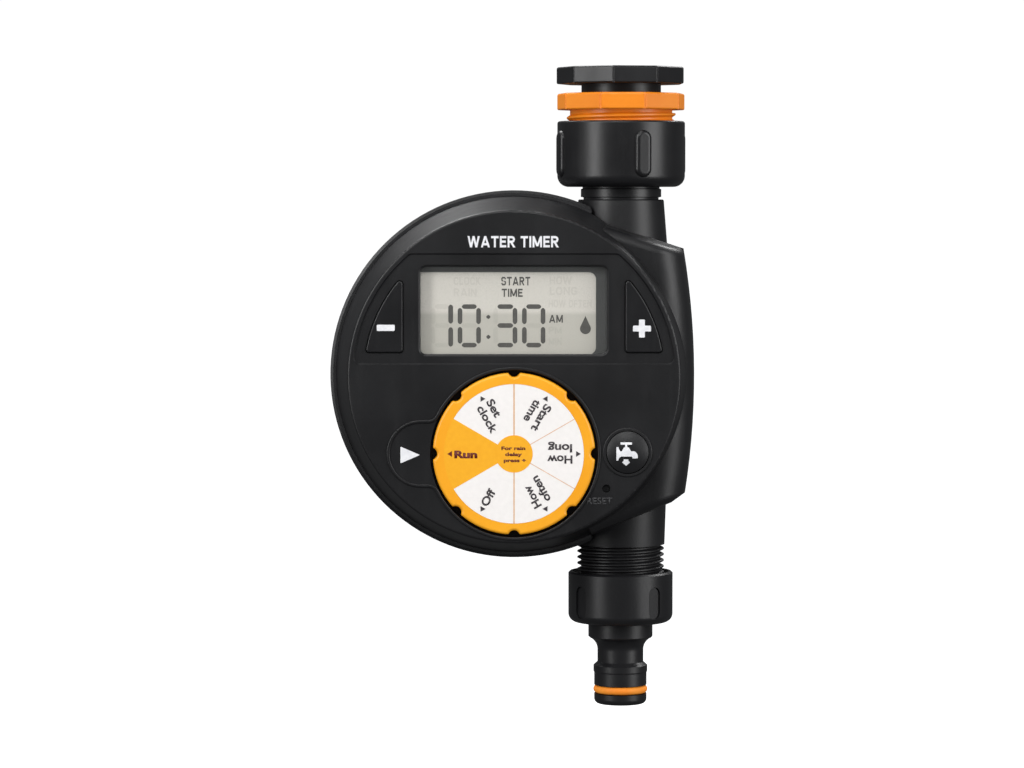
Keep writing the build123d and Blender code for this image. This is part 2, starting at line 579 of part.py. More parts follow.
CELL_X0 = (TRAY[0] + TRAY[1] - CELL_L) / 2
NUB_L, NUB_R = 1.2, 2.7
with BuildPart() as battery_cells:
    for z, sign in zip(CELL_Z, (-1, 1)):
        start = CELL_X0 + (NUB_L if sign < 0 else 0)
        rod_x(CELL_Y, z, CELL_R, start, start + CELL_L - NUB_L)
        nub = CELL_X0 if sign < 0 else CELL_X0 + CELL_L - NUB_L
        rod_x(CELL_Y, z, NUB_R, nub, nub + NUB_L)
battery_cells.part.label = "battery_cells"

CONTACT_T = 0.4
with BuildPart() as battery_plates:
    for z, sign in zip(CELL_Z, (-1, 1)):
        for end in (-1, 1):
            wall_x = TRAY[0] if end < 0 else TRAY[1]
            with Locations((wall_x - end * CONTACT_T / 2, CELL_Y, z)):
                Box(CONTACT_T, 10.5, 11.0)
            if end == sign:
                reach = CELL_X0 - TRAY[0] - 0.05
                x0 = wall_x if end < 0 else wall_x - reach
                rod_x(CELL_Y, z, 1.9, x0, x0 + reach)
battery_plates.part.label = "battery_plates"

with BuildPart() as battery_springs:
    spring_l = CELL_X0 - TRAY[0] - CONTACT_T - 0.75
    for z, sign in zip(CELL_Z, (-1, 1)):
        x0 = TRAY[0] + CONTACT_T + 0.37 if sign > 0 else TRAY[1] - CONTACT_T - 0.37 - spring_l
        wire_coil((x0, CELL_Y, z), 3.8, 0.9, spring_l, 0.35)
battery_springs.part.label = "battery_springs"

with BuildPart() as battery_leads:
    for z in CELL_Z:
        wire([(-70.0, TRAY_FRONT, z), (-70.0, -4.0, z), (-67.0, -10.0, z), (-67.0, BOARD_BACK, z)],
             2.5, 0.6)
battery_leads.part.label = "battery_leads"

with BuildPart() as battery_door:
    slab(DOOR, DOOR_Y0, DOOR_Y1, 2.0)
    for x in KNUCKLES:
        half = KNUCKLE_L / 2
        slab((x - half, x + half, HINGE_Z, DOOR[2] + 2), HINGE_Y - KNUCKLE_R, HINGE_Y + KNUCKLE_R)
        rod_x(HINGE_Y, HINGE_Z, KNUCKLE_R, x - half, x + half)
        rod_x(HINGE_Y, HINGE_Z, PIN_R, x - half - PIN_L, x + half + PIN_L)
    # Finger scoop and grip ribs near the free edge.
    with Locations(((DOOR[0] + DOOR[1]) / 2, DOOR_Y1 + 5.0, DOOR[3] - 4.5)):
        Cylinder(5.8, 16, rotation=(0, 90, 0), mode=Mode.SUBTRACT)
    for step in range(5):
        z = DOOR[3] - 12.0 - 2.2 * step
        slab((-53.0, -33.0, z - 0.5, z + 0.5), DOOR_Y1 - 0.5, DOOR_Y1 + 0.1)
battery_door.part.label = "battery_door"

with BuildPart() as door_gasket:
    with BuildSketch(front_plane(RECESS_Y)):
        box_xz(grown(DOOR_OPENING, 1.65), 3.0)
        with BuildSketch(Plane.XY, mode=Mode.PRIVATE) as gasket_hole:
            box_xz(grown(DOOR_OPENING, 0.75), 2.4)
        add(gasket_hole.sketch_local, mode=Mode.SUBTRACT)
    extrude(amount=0.6)
door_gasket.part.label = "door_gasket"

# ---- inlet couplings --------------------------------------------------------------------
def reducer_flange(z0, z1, turn):
    """Nine-sided grip flange with softened corners."""
    with BuildSketch(Plane.XY.offset(z0)) as grip:
        RegularPolygon(REDUCER_R, FACETS, rotation=turn)
        fillet(grip.vertices(), CORNER_R)
    extrude(grip.sketch, amount=z1 - z0)


def corner_grooves(z0, z1, turn):
    """Fine upright groove down each corner of a grip flange."""
    with BuildSketch(Plane.XY.offset(z0)) as grooves:
        with PolarLocations(REDUCER_R + 0.02, FACETS, start_angle=turn):
            Circle(GROOVE_R)
    extrude(grooves.sketch, amount=z1 - z0, mode=Mode.SUBTRACT)


def rim_edges(part, z):
    """Outer edges of the part's flat face at height z."""
    flat = part.faces().filter_by(Axis.Z).filter_by_position(Axis.Z, z - 0.01, z + 0.01)[0]
    return flat.outer_wire().edges()


small_neck = LARGE_TOP - 0.4
with BuildPart() as small_reducer:
    thread(G34_ROOT, G34_CREST, G34_PITCH, SMALL_LOW + 0.3, small_neck)
    column(G34_ROOT, SMALL_LOW, -SMALL_FLANGE)
    reducer_flange(-SMALL_FLANGE, 0, SMALL_TURN)
    fillet(rim_edges(small_reducer, 0), 0.7)
    fillet(rim_edges(small_reducer, -SMALL_FLANGE), 0.5)
    corner_grooves(-SMALL_FLANGE, 0, SMALL_TURN)
    column(G12_BORE, -INLET_DEPTH, 1, mode=Mode.SUBTRACT)
    column(WASHER_SEAT_R, -15, -INLET_DEPTH, mode=Mode.SUBTRACT)
    column(7.0, SMALL_LOW - 1, 0, mode=Mode.SUBTRACT)
small_reducer.part.label = "small_reducer"

with BuildPart() as small_reducer_washer:
    ring(10.3, 6.5, -15.0, -13.0)
small_reducer_washer.part.label = "small_reducer_washer"

with BuildPart() as large_reducer:
    thread(G1_ROOT, G1_CREST, G1_PITCH, LARGE_LOW + 0.3, LARGE_TOP - LARGE_FLANGE - 1.0, 0.79)
    column(G1_ROOT, LARGE_LOW, LARGE_TOP - LARGE_FLANGE)
    reducer_flange(LARGE_TOP - LARGE_FLANGE, LARGE_TOP, LARGE_TURN)
    fillet(rim_edges(large_reducer, LARGE_TOP), 0.7)
    fillet(rim_edges(large_reducer, LARGE_TOP - LARGE_FLANGE), 0.5)
    corner_grooves(LARGE_TOP - LARGE_FLANGE, LARGE_TOP, LARGE_TURN)
    column(G34_BORE, LARGE_LOW + 3, 0, mode=Mode.SUBTRACT)
    column(WATER_R, LARGE_LOW - 1, 0, mode=Mode.SUBTRACT)
large_reducer.part.label = "large_reducer"

with BuildPart() as large_reducer_washer:
    ring(13.1, 8.0, LARGE_LOW + 3, SMALL_LOW - 2.1)
large_reducer_washer.part.label = "large_reducer_washer"

RIB_ANGLES = (18.5, 108.5, -71.5, 198.5)       # from the front, towards +X
with BuildPart() as nut_rib:
    with BuildSketch(Plane(origin=(NUT_R - 2.0, 0, -26.3), x_dir=(0, 0, 1), z_dir=(1, 0, 0))):
        SlotOverall(14.2, 5.2)
    extrude(amount=2.95)
    fillet(nut_rib.faces().sort_by(Axis.X)[-1].edges(), 1.3)

with BuildPart() as tap_nut:
    column(NUT_R, NUT_LOW, NUT_TOP)
    fillet(tap_nut.edges().filter_by(GeomType.CIRCLE).sort_by(Axis.Z)[0], 3.4)
    fillet(tap_nut.edges().filter_by(GeomType.CIRCLE).sort_by(Axis.Z)[-1], 0.8)
    for angle in RIB_ANGLES:
        add(nut_rib.part.rotate(Axis.Z, angle - 90))
    column(G1_BORE, NUT_LOW + NUT_LIP, NUT_TOP + 1, mode=Mode.SUBTRACT)
    column(12.6, NUT_LOW - 1, NUT_TOP, mode=Mode.SUBTRACT)
tap_nut.part.label = "tap_nut"

SPIGOT_TOP = -30.0
with BuildPart() as inlet_spigot:
    with BuildSketch(Plane.XZ):
        with BuildLine():
            Polyline((8.4, SPIGOT_TOP), (15.3, SPIGOT_TOP), (15.3, -32.4), (11.7, -32.4),
                     (11.7, -36.7), (12.2, -36.9), (12.2, -39.2), (11.4, -39.4), (11.4, TUBE_TOP),
                     (10.6, TUBE_TOP), (10.6, -52.0), (8.4, -52.0), close=True)
        make_face()
    revolve(axis=Axis.Z)
    column(9.3, SPIGOT_TOP - 1, SPIGOT_TOP, mode=Mode.SUBTRACT)
inlet_spigot.part.label = "inlet_spigot"

with BuildPart() as inlet_washer:
    ring(15.2, 9.4, SPIGOT_TOP, -27.6)
inlet_washer.part.label = "inlet_washer"

with BuildPart() as inlet_filter:
    column(9.2, SPIGOT_TOP - 1, SPIGOT_TOP)
    column(7.9, -42.0, SPIGOT_TOP - 0.5)
    column(7.2, -41.2, SPIGOT_TOP + 1, mode=Mode.SUBTRACT)
    for row in range(3):
        with Locations((0, 0, -33.4 - 2.8 * row)):
            with PolarLocations(0, 9):
                Box(20, 2.0, 1.8, mode=Mode.SUBTRACT)
inlet_filter.part.label = "inlet_filter"

# ---- solenoid valve ---------------------------------------------------------------------
CHAMBER_R, CHAMBER_X = 10.8, -10.5
with BuildPart() as valve_body:
    thread(G34_ROOT, G34_CREST, G34_PITCH, OUTLET_LOW + 0.6, THREAD_TOP - 0.3, 1.46)
    with BuildSketch(Plane.XZ):
        with BuildLine():
            Polyline((0, TUBE_TOP), (12.7, TUBE_TOP), (13.0, TUBE_TOP - 0.3), (14.0, -53.0),
                     (14.1, -58.0), (TUBE_IN_R, -60.0), (TUBE_IN_R, -124.0), (13.9, -126.0),
                     (13.8, -133.0), (13.4, THREAD_TOP), (G34_ROOT, THREAD_TOP),
                     (G34_ROOT, OUTLET_LOW), (0, OUTLET_LOW), close=True)
        make_face()
    revolve(axis=Axis.Z)
    with BuildSketch(side_plane(FLANGE_X)):
        with Locations((0, VALVE_Z)):
            RectangleRounded(2 * FLANGE_HALF, 2 * FLANGE_HALF, 3.0)
    extrude(amount=4.0)
    rod_x(0, VALVE_Z, CHAMBER_R + 2.2, FLANGE_X, 0)
    # Inlet bore, annular chamber round the seat, outlet bore.
    column(10.7, -52.0, TUBE_TOP + 1, mode=Mode.SUBTRACT)
    column(WATER_R, -105.5, TUBE_TOP, mode=Mode.SUBTRACT)
    rod_x(0, VALVE_Z, CHAMBER_R, FLANGE_X, CHAMBER_X, Mode.SUBTRACT)
    rod_x(0, VALVE_Z + CHAMBER_R - 1.5, 2.2, CHAMBER_X - 2, -4, Mode.SUBTRACT)
    rod_x(0, VALVE_Z, SEAT_R, SEAT_X, CHAMBER_X + 1)
    column(WATER_R, OUTLET_LOW - 1, -108.0, mode=Mode.SUBTRACT)
    rod_x(0, VALVE_Z, SEAT_BORE, FLANGE_X, 0, Mode.SUBTRACT)
    for y in (-1, 1):
        for z in (-1, 1):
            rod_x(12.6 * y, VALVE_Z + 12.6 * z, 1.1, FLANGE_X, FLANGE_X + 4, Mode.SUBTRACT)
valve_body.part.label = "valve_body"

BONNET_X = FLANGE_X - DIAPHRAGM_T
with BuildPart() as diaphragm:
    rod_x(0, VALVE_Z, 13.8, BONNET_X, FLANGE_X)
    rod_x(0, VALVE_Z, 3.3, BONNET_X, FLANGE_X, Mode.SUBTRACT)
diaphragm.part.label = "diaphragm"

with BuildPart() as poppet:
    rod_x(0, VALVE_Z, 8.2, FLANGE_X + 0.9, SEAT_X - 0.05)
    rod_x(0, VALVE_Z, 3.25, BONNET_X - 0.1, FLANGE_X + 0.9)
    rod_x(0, VALVE_Z, 5.5, BONNET_X - 1.0, BONNET_X - 0.1)
poppet.part.label = "poppet"

GUIDE_TOP, GUIDE_END = BONNET_X - 3.5, -52.0
with BuildPart() as bonnet:
    with BuildSketch(side_plane(BONNET_X - 5.0)):
        with Locations((0, VALVE_Z)):
            RectangleRounded(2 * FLANGE_HALF, 2 * FLANGE_HALF, 3.0)
    extrude(amount=FLANGE_X - BONNET_X + 5.0)
    rod_x(0, VALVE_Z, 13.9, BONNET_X, FLANGE_X, Mode.SUBTRACT)
    rod_x(0, VALVE_Z, CHAMBER_R, GUIDE_TOP, FLANGE_X, Mode.SUBTRACT)
    rod_x(0, VALVE_Z, 6.6, GUIDE_TOP - 0.6, FLANGE_X, Mode.SUBTRACT)
    rod_x(0, VALVE_Z, GUIDE_R + 0.05, BONNET_X - 6, FLANGE_X, Mode.SUBTRACT)
    for y in (-1, 1):
        for z in (-1, 1):
            rod_x(12.6 * y, VALVE_Z + 12.6 * z, 1.2, BONNET_X - 6, FLANGE_X, Mode.SUBTRACT)
bonnet.part.label = "bonnet"

with BuildPart() as bonnet_screws:
    for y in (-1, 1):
        for z in (-1, 1):
            spot_y, spot_z = 12.6 * y, VALVE_Z + 12.6 * z
            rod_x(spot_y, spot_z, 1.05, BONNET_X - 5.0, FLANGE_X + 3.5)
            rod_x(spot_y, spot_z, 1.9, BONNET_X - 6.5, BONNET_X - 5.0)
            rod_x(spot_y, spot_z, 0.6, BONNET_X - 6.5, BONNET_X - 5.7, Mode.SUBTRACT)
bonnet_screws.part.label = "bonnet_screws"

with BuildPart() as guide_tube:
    rod_x(0, VALVE_Z, GUIDE_R, GUIDE_END, GUIDE_TOP)
    rod_x(0, VALVE_Z, 6.5, GUIDE_TOP - 0.55, GUIDE_TOP)
    rod_x(0, VALVE_Z, PLUNGER_R + 0.25, GUIDE_END + 1.0, GUIDE_TOP, Mode.SUBTRACT)
guide_tube.part.label = "guide_tube"

CORE_X, PLUNGER_END, SPRING_BORE = -46.4, -44.0, -35.0
with BuildPart() as fixed_core:
    rod_x(0, VALVE_Z, PLUNGER_R + 0.2, GUIDE_END + 1.0, CORE_X)
fixed_core.part.label = "fixed_core"

with BuildPart() as plunger:
    rod_x(0, VALVE_Z, PLUNGER_R, PLUNGER_END, BONNET_X - 1.0)
    rod_x(0, VALVE_Z, 2.4, PLUNGER_END, SPRING_BORE, Mode.SUBTRACT)
plunger.part.label = "plunger"

with BuildPart() as plunger_spring:
    spring_room = 0.35
    spring_start = (CORE_X + spring_room, 0, VALVE_Z)
    wire_coil(spring_start, 1.9, 1.4, SPRING_BORE - CORE_X - 2 * spring_room, 0.3)
plunger_spring.part.label = "plunger_spring"

COIL_X0, COIL_X1, COIL_R = -46.9, -27.1, 10.8
with BuildPart() as coil_bobbin:
    rod_x(0, VALVE_Z, GUIDE_R + 1.2, COIL_X0, COIL_X1)
    for x0 in (COIL_X0, COIL_X1 - 1.2):
        rod_x(0, VALVE_Z, COIL_R, x0, x0 + 1.2)
    rod_x(0, VALVE_Z, GUIDE_R + 0.1, COIL_X0, COIL_X1, Mode.SUBTRACT)
coil_bobbin.part.label = "coil_bobbin"

with BuildPart() as coil_winding:
    rod_x(0, VALVE_Z, COIL_R - 0.8, COIL_X0 + 1.2, COIL_X1 - 1.2)
    rod_x(0, VALVE_Z, GUIDE_R + 1.2, COIL_X0 + 1.2, COIL_X1 - 1.2, Mode.SUBTRACT)
coil_winding.part.label = "coil_winding"

YOKE_T = 1.5
with BuildPart() as yoke:
    yoke_outer = (COIL_X0 - YOKE_T, COIL_X1 + YOKE_T, VALVE_Z - 12.4, VALVE_Z + 12.4)
    yoke_inner = (COIL_X0, COIL_X1, VALVE_Z - 10.9, VALVE_Z + 10.9)
    slab(yoke_outer, -6.0, 6.0, 1.0)
    slab(yoke_inner, -7.0, 7.0, mode=Mode.SUBTRACT)
    rod_x(0, VALVE_Z, GUIDE_R + 0.1, COIL_X0 - 2, COIL_X1 + 2, Mode.SUBTRACT)
yoke.part.label = "yoke"

with BuildPart() as coil_leads:
    for x in (-40.0, -34.0):
        wire([(x, -10.0, VALVE_Z + 1.0), (x, -13.0, VALVE_Z + 1.0), (x, -14.5, VALVE_Z + 5.0),
              (x, BOARD_BACK, VALVE_Z + 5.0)], 1.2, 0.5)
coil_leads.part.label = "coil_leads"

# ---- outlet coupling --------------------------------------------------------------------
with BuildPart() as hose_connector:
    with BuildSketch(Plane.XZ):
        with BuildLine():
            Polyline((0, CONNECTOR_TOP), (CONNECTOR_R - 0.5, CONNECTOR_TOP),
                     (CONNECTOR_R, CONNECTOR_TOP - 0.5), (CONNECTOR_R, CONNECTOR_LOW + 2.6))
            ThreePointArc((CONNECTOR_R, CONNECTOR_LOW + 2.6), (CONNECTOR_R - 0.76, CONNECTOR_LOW + 0.76),
                          (CONNECTOR_R - 2.6, CONNECTOR_LOW))
            Polyline((CONNECTOR_R - 2.6, CONNECTOR_LOW), (9.8, CONNECTOR_LOW), (9.8, -173.0),
                     (9.4, -173.4))
            ThreePointArc((9.4, -173.4), (7.6, -175.0), (7.0, -177.3))
            Polyline((7.0, -177.3), (7.0, -180.8), (NIPPLE_R + 0.22, -181.9), (NIPPLE_R + 0.22, -183.7),
                     (NIPPLE_R, -184.1), (NIPPLE_R, RING_Z + 1.35), (5.8, RING_Z + 1.35),
                     (5.8, RING_Z - 1.35), (NIPPLE_R, RING_Z - 1.35), (NIPPLE_R, TIP_Z + 1.6))
            ThreePointArc((NIPPLE_R, TIP_Z + 1.6), (NIPPLE_R - 0.5, TIP_Z + 0.45), (NIPPLE_R - 1.7, TIP_Z))
            Polyline((NIPPLE_R - 1.7, TIP_Z), (0, TIP_Z), (0, CONNECTOR_TOP))
        make_face()
    revolve(axis=Axis.Z)
    for angle in (39, 129, 219, 309):
        turn = radians(angle)
        outward = (cos(turn), sin(turn), 0)
        spot = (CONNECTOR_R - 0.7) * Vector(*outward) + Vector(0, 0, -161.9)
        with BuildSketch(Plane(origin=spot, x_dir=(0, 0, 1), z_dir=outward)):
            SlotOverall(9.8, 4.4)
        extrude(amount=2, mode=Mode.SUBTRACT)
    column(G34_BORE, OUTLET_LOW - 2.5, CONNECTOR_TOP + 1, mode=Mode.SUBTRACT)
    column(14.6, CONNECTOR_TOP - 1.0, CONNECTOR_TOP + 1, mode=Mode.SUBTRACT)
    column(NIPPLE_BORE, TIP_Z - 1, CONNECTOR_TOP, mode=Mode.SUBTRACT)
hose_connector.part.label = "hose_connector"

with BuildPart() as connector_washer:
    ring(13.1, 7.5, OUTLET_LOW - 2.5, OUTLET_LOW - 0.1)
connector_washer.part.label = "connector_washer"

with BuildPart() as connector_oring:
    with Locations((0, 0, RING_Z)):
        Torus(RING_MAJOR, RING_MINOR)
connector_oring.part.label = "connector_oring"

# ---- output -----------------------------------------------------------------------------
PIECES = [
    front_case, rear_case, case_gasket, case_screws,
    display_window, lcd_panel, lcd_frame, lcd_connectors,
    circuit_board, board_components, board_screws, tact_switches, button_seals,
    manual_button, reset_plunger,
    dial, dial_label, dial_shaft, shaft_seal, rotary_switch,
    battery_tray, battery_cells, battery_plates, battery_springs, battery_leads,
    battery_door, door_gasket,
    small_reducer, small_reducer_washer, large_reducer, large_reducer_washer,
    tap_nut, inlet_spigot, inlet_washer, inlet_filter,
    valve_body, diaphragm, poppet, bonnet, bonnet_screws, guide_tube, fixed_core,
    plunger, plunger_spring, coil_bobbin, coil_winding, yoke, coil_leads,
    hose_connector, connector_washer, connector_oring,
]
for piece in PIECES:
    export_step(piece.part, f"parts/{piece.part.label}.step")
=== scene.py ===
import json
import math
import bpy
from mathutils import Matrix, Vector


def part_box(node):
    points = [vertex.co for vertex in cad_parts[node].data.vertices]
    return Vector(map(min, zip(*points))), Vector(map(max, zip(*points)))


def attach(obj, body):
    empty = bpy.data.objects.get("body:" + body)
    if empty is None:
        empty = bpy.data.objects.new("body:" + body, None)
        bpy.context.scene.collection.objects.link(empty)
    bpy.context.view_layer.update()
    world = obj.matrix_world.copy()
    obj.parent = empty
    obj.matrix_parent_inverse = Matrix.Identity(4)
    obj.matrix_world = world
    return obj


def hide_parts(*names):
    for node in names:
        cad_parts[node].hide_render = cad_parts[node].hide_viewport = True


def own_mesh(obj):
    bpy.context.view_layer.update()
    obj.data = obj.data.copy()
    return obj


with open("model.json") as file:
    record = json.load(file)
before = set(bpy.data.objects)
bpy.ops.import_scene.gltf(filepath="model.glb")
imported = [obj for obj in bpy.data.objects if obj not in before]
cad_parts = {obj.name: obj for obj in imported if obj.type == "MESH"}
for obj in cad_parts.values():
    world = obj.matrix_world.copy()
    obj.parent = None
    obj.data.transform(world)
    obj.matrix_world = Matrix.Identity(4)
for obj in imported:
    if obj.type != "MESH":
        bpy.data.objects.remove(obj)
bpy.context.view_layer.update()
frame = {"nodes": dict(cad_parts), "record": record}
MM = 0.001


# ---- places on the object, in millimetres in the row frame ------------------------------
def front_of(node):
    """The y of a node's front face."""
    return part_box(node)[0][1] / MM


FACE_Y = -30.0                  # the casing's flat face, a little behind its raised lips
KEY_Y, LABEL_Y, LCD_Y = front_of("minus_button"), front_of("dial_label"), front_of("lcd_panel")
DOOR_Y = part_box("battery_door")[1][1] / MM
DIAL = (-32.5, -115.35)         # x and z of its axis
LABEL_R, HUB_R = 20.7, 5.55
BUTTON = (1.2, -114.9)          # x and z of the valve key's axis
DOME_R, DOME_CENTRE_Y = 16.62, -14.88
DOME_STEP, DOME_LIFT = 0.4, 0.005
INK = 0.04                      # thickness of a print; one printed over another stands a little further out
G12_PITCH, G34_PITCH, G1_PITCH = 1.814, 1.814, 2.309
CELLS_APART_Z = (-0.0812, -0.0808)                              # in metres, as are the next two
CAP_RIGHT_X, CAP_LEFT_X = (-0.0305, -0.0300), (-0.0560, -0.0555)     # where a cell's sleeve changes colour


# ---- node materials ---------------------------------------------------------------------
def rgb(r, g, b):
    """A colour given in sRGB steps from 0 to 255, as linear RGBA."""
    parts = [c / 255 for c in (r, g, b)]
    return tuple(c / 12.92 if c <= 0.04045 else ((c + 0.055) / 1.055) ** 2.4 for c in parts) + (1.0,)


class Finish:
    """One Principled material and the procedural nodes that feed it."""

    def __init__(self, name, **sockets):
        self.material = bpy.data.materials.new(name)
        self.material.use_nodes = True
        self.tree = self.material.node_tree
        self.shader = self.tree.nodes["Principled BSDF"]
        self.place = self.node("ShaderNodeTexCoord").outputs["Object"]
        self.height = None
        for socket, value in sockets.items():
            self.shader.inputs[socket.replace("_", " ")].default_value = value

    def node(self, kind, **settings):
        made = self.tree.nodes.new(kind)
        for key, value in settings.items():
            setattr(made, key, value)
        return made

    def link(self, source, target):
        self.tree.links.new(source, target)

    def stretched(self, x, y, z):
        mapping = self.node("ShaderNodeMapping")
        self.link(self.place, mapping.inputs["Vector"])
        mapping.inputs["Scale"].default_value = (x, y, z)
        return mapping.outputs["Vector"]

    def noise(self, scale, detail=2.0, rough=0.5, vector=None):
        made = self.node("ShaderNodeTexNoise")
        self.link(vector or self.place, made.inputs["Vector"])
        made.inputs["Scale"].default_value = scale
        made.inputs["Detail"].default_value = detail
        made.inputs["Roughness"].default_value = rough
        return made.outputs["Fac"]

    def cells(self, scale, feature="F1", vector=None):
        made = self.node("ShaderNodeTexVoronoi", feature=feature)
        self.link(vector or self.place, made.inputs["Vector"])
        made.inputs["Scale"].default_value = scale
        return made.outputs["Distance"]

    def span(self, value, low, high, to_low=0.0, to_high=1.0):
        made = self.node("ShaderNodeMapRange", clamp=True)
        self.link(value, made.inputs["Value"])
        for key, number in (("From Min", low), ("From Max", high), ("To Min", to_low), ("To Max", to_high)):
            made.inputs[key].default_value = number
        return made.outputs["Result"]

    def mix(self, share, first, second):
        made = self.node("ShaderNodeMix", data_type="RGBA")
        self.link(share, made.inputs["Factor"])
        for index, colour in ((6, first), (7, second)):
            if isinstance(colour, tuple):
                made.inputs[index].default_value = colour
            else:
                self.link(colour, made.inputs[index])
        return made.outputs[2]

    def math(self, operation, first, second):
        made = self.node("ShaderNodeMath", operation=operation)
        for index, value in enumerate((first, second)):
            if isinstance(value, (int, float)):
                made.inputs[index].default_value = value
            else:
                self.link(value, made.inputs[index])
        return made.outputs[0]

    def axis(self, letter):
        made = self.node("ShaderNodeSeparateXYZ")
        self.link(self.place, made.inputs[0])
        return made.outputs[letter]

    def colour(self, source):
        self.link(source, self.shader.inputs["Base Color"])

    def rough(self, source):
        self.link(source, self.shader.inputs["Roughness"])

    def bump(self, height, depth, strength=1.0):
        made = self.node("ShaderNodeBump")
        made.inputs["Distance"].default_value = depth * MM
        made.inputs["Strength"].default_value = strength
        self.link(height, made.inputs["Height"])
        if self.height is not None:
            self.link(self.height, made.inputs["Normal"])
        self.height = made.outputs["Normal"]
        self.link(self.height, self.shader.inputs["Normal"])


def moulded(name, tone, deep, rough, grain=1.0, **sockets):
    """Injection-moulded plastic: drifting tone, fine spark-eroded grain, faint rubs."""
    made = Finish(name, **sockets)
    drift = made.noise(38.0, 4.0, 0.55)
    pigment = made.noise(2400.0, 1.0)
    toned = made.mix(made.span(drift, 0.36, 0.64), deep, tone)
    made.colour(made.mix(made.span(pigment, 0.40, 0.78, 0.0, 0.35), toned, deep))
    rubs = made.noise(260.0, 3.0, 0.6, made.stretched(1.0, 1.0, 0.12))
    handled = made.math("ADD", made.span(drift, 0.3, 0.7, rough - 0.03, rough + 0.04),
                        made.span(rubs, 0.52, 0.74, 0.0, 0.06))
    made.rough(handled)
    made.bump(made.noise(26.0, 2.0), 0.10, 0.25)
    made.bump(made.noise(3600.0, 2.0, 0.6), 0.012 * grain, 0.55)
    made.bump(made.cells(1500.0), 0.008 * grain, 0.4)
    return made.material


def metal(name, tone, deep, rough, brushed=(1.0, 1.0, 1.0)):
    """Plain metal with fine streaks along the axis that brushed scales down."""
    made = Finish(name, Metallic=1.0)
    streak = made.noise(900.0, 3.0, 0.6, made.stretched(*brushed))
    made.colour(made.mix(made.span(streak, 0.3, 0.7), deep, tone))
    made.rough(made.span(made.noise(120.0, 3.0), 0.3, 0.7, rough - 0.07, rough + 0.1))
    made.bump(streak, 0.01, 0.5)
    return made.material


def rubber(name, tone, deep):
    """Matt rubber or soft lead covering."""
    made = Finish(name, Specular_IOR_Level=0.35)
    made.colour(made.mix(made.span(made.noise(150.0, 4.0), 0.35, 0.65), deep, tone))
    made.rough(made.span(made.noise(700.0, 2.0), 0.3, 0.7, 0.5, 0.66))
    made.bump(made.noise(2600.0, 2.0), 0.015, 0.6)
    return made.material


def printed(name, tone, deep, rough=0.5):
    """Screen-printed ink: slightly uneven cover and a faint mesh."""
    made = Finish(name)
    made.colour(made.mix(made.span(made.noise(620.0, 3.0), 0.35, 0.7), deep, tone))
    made.rough(made.span(made.noise(1500.0, 1.0), 0.3, 0.7, rough - 0.05, rough + 0.06))
    made.bump(made.noise(4200.0, 1.0), 0.004, 0.5)
    return made.material


def display_glass():
    """A nearly clear window."""
    made = Finish("clear_window", Alpha=0.035, IOR=1.49)
    made.colour(made.mix(made.noise(60.0, 2.0), rgb(190, 192, 190), rgb(206, 207, 205)))
    made.rough(made.span(made.noise(420.0, 3.0), 0.3, 0.7, 0.05, 0.10))
    made.bump(made.noise(18.0, 1.0), 0.05, 0.2)
    return made.material


PAINTED_LIGHT_STEP = (-0.0743, -0.0731)    # height of the painted step on the display: painted reflection above, painted shade below, in metres


def liquid_crystal():
    """The display's reflective cell: warm grey with a polariser's fine grain, painted reflection on its upper
    part and painted shade towards the bottom.
    """
    made = Finish("lcd", Specular_IOR_Level=0.3)
    # painted light: the cell's colour steps to a lighter painted reflection above this height and a darker
    # painted shade below it
    painted_light_share = made.span(made.axis("Z"), *PAINTED_LIGHT_STEP)
    base = made.mix(painted_light_share, rgb(186, 183, 173), rgb(209, 205, 196))
    made.colour(made.mix(made.span(made.noise(2200.0, 1.0), 0.42, 0.8, 0.0, 0.3), base, rgb(180, 177, 166)))
    made.rough(made.span(made.noise(300.0, 2.0), 0.3, 0.7, 0.42, 0.52))
    made.bump(made.noise(3000.0, 1.0), 0.005, 0.4)
    return made.material


def circuit_green():
    """Solder mask over raised tracks, with bare pads."""
    made = Finish("board_green", Coat_Weight=0.4, Coat_Roughness=0.25)
    tracks = made.span(made.cells(330.0, "DISTANCE_TO_EDGE"), 0.05, 0.09)
    pads = made.span(made.cells(520.0), 0.16, 0.2)
    masked = made.mix(tracks, rgb(40, 118, 66), rgb(22, 84, 46))
    made.colour(made.mix(pads, rgb(196, 170, 96), masked))
    made.rough(made.span(made.noise(90.0, 2.0), 0.3, 0.7, 0.35, 0.5))
    made.bump(tracks, 0.03, 0.6)
    return made.material


def winding_copper():
    """Enamelled wire, turn beside turn."""
    made = Finish("copper", Metallic=1.0)
    turns = made.node("ShaderNodeTexWave", bands_direction="X")
    made.link(made.place, turns.inputs["Vector"])
    turns.inputs["Scale"].default_value = 1100.0
    made.colour(made.mix(turns.outputs["Fac"], rgb(132, 62, 30), rgb(208, 122, 72)))
    made.rough(made.span(made.noise(300.0, 2.0), 0.3, 0.7, 0.28, 0.4))
    made.bump(turns.outputs["Fac"], 0.06, 0.7)
    return made.material


def cell_sleeve():
    """A plain two-tone shrink sleeve, pale at the cap: the two cells lie opposite ways."""
    made = Finish("cell_wrap", Coat_Weight=0.5, Coat_Roughness=0.15)
    upper = made.span(made.axis("Z"), *CELLS_APART_Z)
    right = made.span(made.axis("X"), *CAP_RIGHT_X)
    left = made.span(made.axis("X"), *CAP_LEFT_X, 1.0, 0.0)
    bands = made.math("ADD", made.math("MULTIPLY", upper, left),
                      made.math("MULTIPLY", made.math("SUBTRACT", 1.0, upper), right))
    wear = made.noise(240.0, 4.0, 0.6)
    plain = made.mix(wear, rgb(48, 92, 70), rgb(62, 112, 86))
    pale = made.mix(wear, rgb(176, 178, 176), rgb(206, 208, 205))
    made.colour(made.mix(bands, plain, pale))
    made.rough(made.span(wear, 0.3, 0.7, 0.26, 0.4))
    made.bump(made.noise(40.0, 3.0), 0.06, 0.3)
    return made.material


